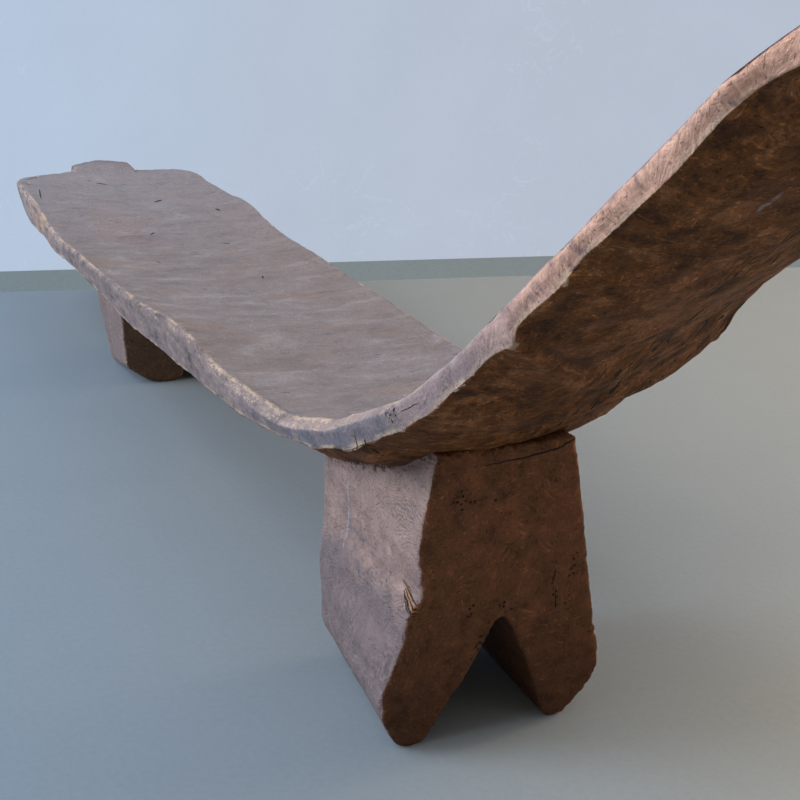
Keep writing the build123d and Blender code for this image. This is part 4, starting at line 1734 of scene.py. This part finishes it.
CAMERA_PLACE = (1.4416, -0.4305, 0.5826)
CAMERA_YAW = 22.5
CAMERA_PITCH = 18.0
CAMERA_ROLL = -0.894
CAMERA_LENS = 58.5
FLOOR_REACH = 6.0
# The floor runs from bluish on the window side to warm grey on the far side: painted light colour.
FLOOR_BLUE = (0.170, 0.234, 0.318)
FLOOR_GREY = (0.304, 0.306, 0.294)
WALL_FOOT = (-1.19, -0.21)
WALL_ALONG = (0.183, 0.983)
WALL_REACH = 5
WALL_HEIGHT = 3.0
WALL_LEFT = (0.46, 0.58, 0.755)
WALL_RIGHT = (0.47, 0.525, 0.625)
STRIP_HEIGHT = 0.019
STRIP_FOOT = 0.10
STRIP_GAP = 0.002
STRIP_LEFT = (0.175, 0.235, 0.27)
STRIP_RIGHT = (0.215, 0.245, 0.25)
# name, place, aim, size, watts, tint, spread in degrees
LAMPS = (
    ("window", (-0.95, -3.4, 1.7), (0.2, 0.0, 0.1), (1.6, 1.8), 102, (0.80, 0.91, 1.0), 180),
    ("sky", (-0.20, -2.6, 3.2), (0.2, 0.0, 0.0), (3.0, 2.4), 78, (0.86, 0.94, 1.0), 180),
    ("far_window", (-0.20, 3.0, 1.3), (0.6, 0.0, 0.1), (2.6, 1.8), 70, (1.0, 0.85, 0.67), 180),
    ("low_sun", (0.35, 2.4, 1.0), (0.92, 0.36, 0.0), (0.35, 0.35), 1.1, (1.0, 0.78, 0.50), 24),
    ("ceiling", (0.6, 0.8, 3.2), (0.4, 0.2, 0.0), (4.5, 4.0), 30, (1.0, 0.96, 0.90), 180),
)
ROOM_LIGHT = (1.0, 0.90, 0.77, 1)
ROOM_LIGHT_STRENGTH = 0.33


def camera_matrix():
    yaw = radians(CAMERA_YAW)
    pitch = radians(CAMERA_PITCH)
    roll = radians(CAMERA_ROLL)
    level = Vector((-cos(yaw), sin(yaw), 0))
    right = Vector((sin(yaw), cos(yaw), 0))
    up = Vector((0, 0, 1))
    ahead = level * cos(pitch) - up * sin(pitch)
    down = -up * cos(pitch) - level * sin(pitch)
    turned_right = right * cos(roll) + down * sin(roll)
    turned_down = down * cos(roll) - right * sin(roll)
    turn = Matrix((turned_right, -turned_down, -ahead)).transposed().to_4x4()
    return Matrix.Translation(CAMERA_PLACE) @ turn


def backdrop_material(name, near, far, speckle, glow=False, plaster=0.0):
    """Matt backdrop, seen from its front only.  With glow the camera sees its colour whatever the light."""
    material, wires, place = new_material(name)
    # The colour drifts along Y from near to far; on the floor this is painted light colour, bluish on the
    # window side and warm grey away from it.
    run = wires.vector("DOT_PRODUCT", place, (0.0, 1.0, 0.0))
    drift = wires.times_plus(wires.noise(place, 1.5, 3.0), 0.5, run)
    base = wires.mix(wires.step(drift, -0.6, 1.2), near, far)
    shade = wires.vary(1.0, wires.noise(place, 160.0, 3.0, 0.7), speckle)
    shade = wires.vary(shade, wires.noise(place, 5.0, 5.0, 0.6), 0.10)
    seams = wires.math("ABSOLUTE", wires.centred(wires.noise(place, 8.0, 4.0, 0.6, 1.0)))
    patches = wires.step(wires.noise(place, 4.0), 0.50, 0.62)
    seams = wires.times(wires.step(seams, 0.0, 0.012, 1.0, 0.0), patches)
    base = wires.shade(base, wires.times_plus(seams, plaster, shade))
    shown = wires.add("ShaderNodeBsdfPrincipled", None, {"Base Color": base, "Roughness": 0.75}).outputs[0]
    if glow:
        flat = wires.add("ShaderNodeEmission", None, {"Color": base, "Strength": 1.0}).outputs[0]
        path = wires.add("ShaderNodeLightPath").outputs
        seen = wires.larger(path["Is Camera Ray"], path["Is Glossy Ray"])
        seen = wires.larger(seen, path["Is Transmission Ray"])
        shown = wires.add("ShaderNodeMixShader", None, {0: seen, 1: shown, 2: flat}).outputs[0]
    clear = wires.add("ShaderNodeBsdfTransparent").outputs[0]
    behind = wires.add("ShaderNodeNewGeometry").outputs["Backfacing"]
    mixed = wires.add("ShaderNodeMixShader", None, {0: behind, 1: shown, 2: clear})
    wires.add("ShaderNodeOutputMaterial", None, {"Surface": mixed.outputs[0]})
    return material


def flat_sheet(name, corners, material):
    """One four-sided face, facing the way its corners turn."""
    points = np.array([tuple(corner) for corner in corners])
    piece = new_object(name, new_mesh(name, points, [[0, 1, 2, 3]]))
    piece.data.materials.append(material)
    return piece


def build_stage():
    reach = FLOOR_REACH
    floor_corners = [(-reach, -reach, 0), (reach, -reach, 0), (reach, reach, 0), (-reach, reach, 0)]
    floor_with_painted_light = backdrop_material("floor_with_painted_light", FLOOR_BLUE, FLOOR_GREY, 0.20)
    floor = flat_sheet("floor", floor_corners, floor_with_painted_light)
    foot = Vector((*WALL_FOOT, 0))
    along = Vector((*WALL_ALONG, 0)).normalized() * WALL_REACH
    ahead = Vector((along.y, -along.x, 0)).normalized()

    def plane(name, low, high, material):
        return flat_sheet(name, [low - along, low + along, high + along, high - along], material)

    wall_paint = backdrop_material("wall_paint", WALL_LEFT, WALL_RIGHT, 0.06, True, 0.06)
    strip_paint = backdrop_material("strip_paint", STRIP_LEFT, STRIP_RIGHT, 0.35, True)
    wall = plane("wall", foot, foot + Vector((0, 0, WALL_HEIGHT)), wall_paint)
    strip_top = foot + ahead * STRIP_GAP + Vector((0, 0, STRIP_HEIGHT))
    strip = plane("wall_strip", foot + ahead * STRIP_FOOT, strip_top, strip_paint)

    scene = bpy.context.scene
    camera_data = bpy.data.cameras.new("camera")
    camera_data.lens = CAMERA_LENS
    camera_data.sensor_width = 36
    camera_data.clip_start = 0.01
    camera = new_object("camera", camera_data)
    camera.matrix_world = camera_matrix()
    scene.camera = camera

    for name, place, aim, size, power, tint, spread in LAMPS:
        data = bpy.data.lights.new(name, "AREA")
        data.shape = "RECTANGLE"
        data.size, data.size_y = size
        data.energy = power
        data.color = tint
        data.spread = radians(spread)
        light = new_object(name, data)
        light.location = place
        light.rotation_euler = (Vector(aim) - Vector(place)).to_track_quat("-Z", "Y").to_euler()

    world = bpy.data.worlds.new("room")
    scene.world = world
    world.use_nodes = True
    background = world.node_tree.nodes["Background"]
    background.inputs["Color"].default_value = ROOM_LIGHT
    background.inputs["Strength"].default_value = ROOM_LIGHT_STRENGTH
    scene.view_settings.view_transform = "Standard"


# ---- operators and panel --------------------------------------------------------------------


class DAYBED_OT_log(bpy.types.Operator):
    """Carve the sleeping slab and the headrest."""

    bl_idname = "daybed.log"
    bl_label = "Slab and Headrest"

    def execute(self, context):
        materials, tree = shared()
        build_log(context.scene.daybed_log, context.scene.daybed_marks, materials["weathered_bed_wood"], tree)
        return {"FINISHED"}


class DAYBED_OT_lug(bpy.types.Operator):
    """Carve the lug at the foot end."""

    bl_idname = "daybed.lug"
    bl_label = "End Lug"

    def execute(self, context):
        materials, tree = shared()
        shape = LogShape(context.scene.daybed_log)
        build_lug(context.scene.daybed_marks, shape, materials["weathered_bed_wood"], tree)
        return {"FINISHED"}


class DAYBED_OT_legs(bpy.types.Operator):
    """Carve the two notched legs."""

    bl_idname = "daybed.legs"
    bl_label = "Legs"

    def execute(self, context):
        materials, tree = shared()
        marks = context.scene.daybed_marks
        material = materials["weathered_leg_wood"]
        head_nodes = ("head_leg", "head_toe_left", "head_toe_right")
        foot_nodes = ("foot_leg", "foot_toe_left", "foot_toe_right")
        shape = LogShape(context.scene.daybed_log)
        head_form = (HEAD_LEG_FRONT, HEAD_LEG_BACK, HEAD_LEG_DEPTHS, HEAD_LEG_VOXEL, HEAD_LEG_SEED)
        foot_form = (FOOT_LEG_FRONT, FOOT_LEG_BACK, FOOT_LEG_DEPTHS, FOOT_LEG_VOXEL, FOOT_LEG_SEED)
        build_leg("head_leg_carved", head_nodes, head_form, head_face, marks, shape, material, tree)
        build_leg("foot_leg_carved", foot_nodes, foot_form, foot_face, marks, shape, material, tree)
        return {"FINISHED"}


class DAYBED_OT_stage(bpy.types.Operator):
    """Lay the floor and the backdrop, and set the lamps and the camera."""

    bl_idname = "daybed.stage"
    bl_label = "Stage"

    def execute(self, context):
        build_stage()
        return {"FINISHED"}


class DAYBED_PT_panel(bpy.types.Panel):
    """Lists the steps and the main sizes and colours."""

    bl_idname = "DAYBED_PT_panel"
    bl_label = "Carved Daybed"
    bl_space_type = "VIEW_3D"
    bl_region_type = "UI"
    bl_category = "Daybed"

    def draw(self, context):
        layout = self.layout
        for operator in OPERATORS:
            layout.operator(operator.bl_idname)
        for holder in (context.scene.daybed_log, context.scene.daybed_marks, context.scene.daybed_colours):
            box = layout.box()
            for key in holder.__annotations__:
                box.prop(holder, key)


OPERATORS = (DAYBED_OT_log, DAYBED_OT_lug, DAYBED_OT_legs, DAYBED_OT_stage)
CLASSES = (LogSizes, MarkSizes, WoodColours, *OPERATORS, DAYBED_PT_panel)


def register():
    for item in CLASSES:
        bpy.utils.register_class(item)
    bpy.types.Scene.daybed_log = bpy.props.PointerProperty(type=LogSizes)
    bpy.types.Scene.daybed_marks = bpy.props.PointerProperty(type=MarkSizes)
    bpy.types.Scene.daybed_colours = bpy.props.PointerProperty(type=WoodColours)


def unregister():
    del bpy.types.Scene.daybed_log
    del bpy.types.Scene.daybed_marks
    del bpy.types.Scene.daybed_colours
    for item in reversed(CLASSES):
        bpy.utils.unregister_class(item)


def main():
    register()
    bpy.ops.daybed.log()
    bpy.ops.daybed.lug()
    bpy.ops.daybed.legs()
    bpy.ops.daybed.stage()


if __name__ == "__main__":
    main()
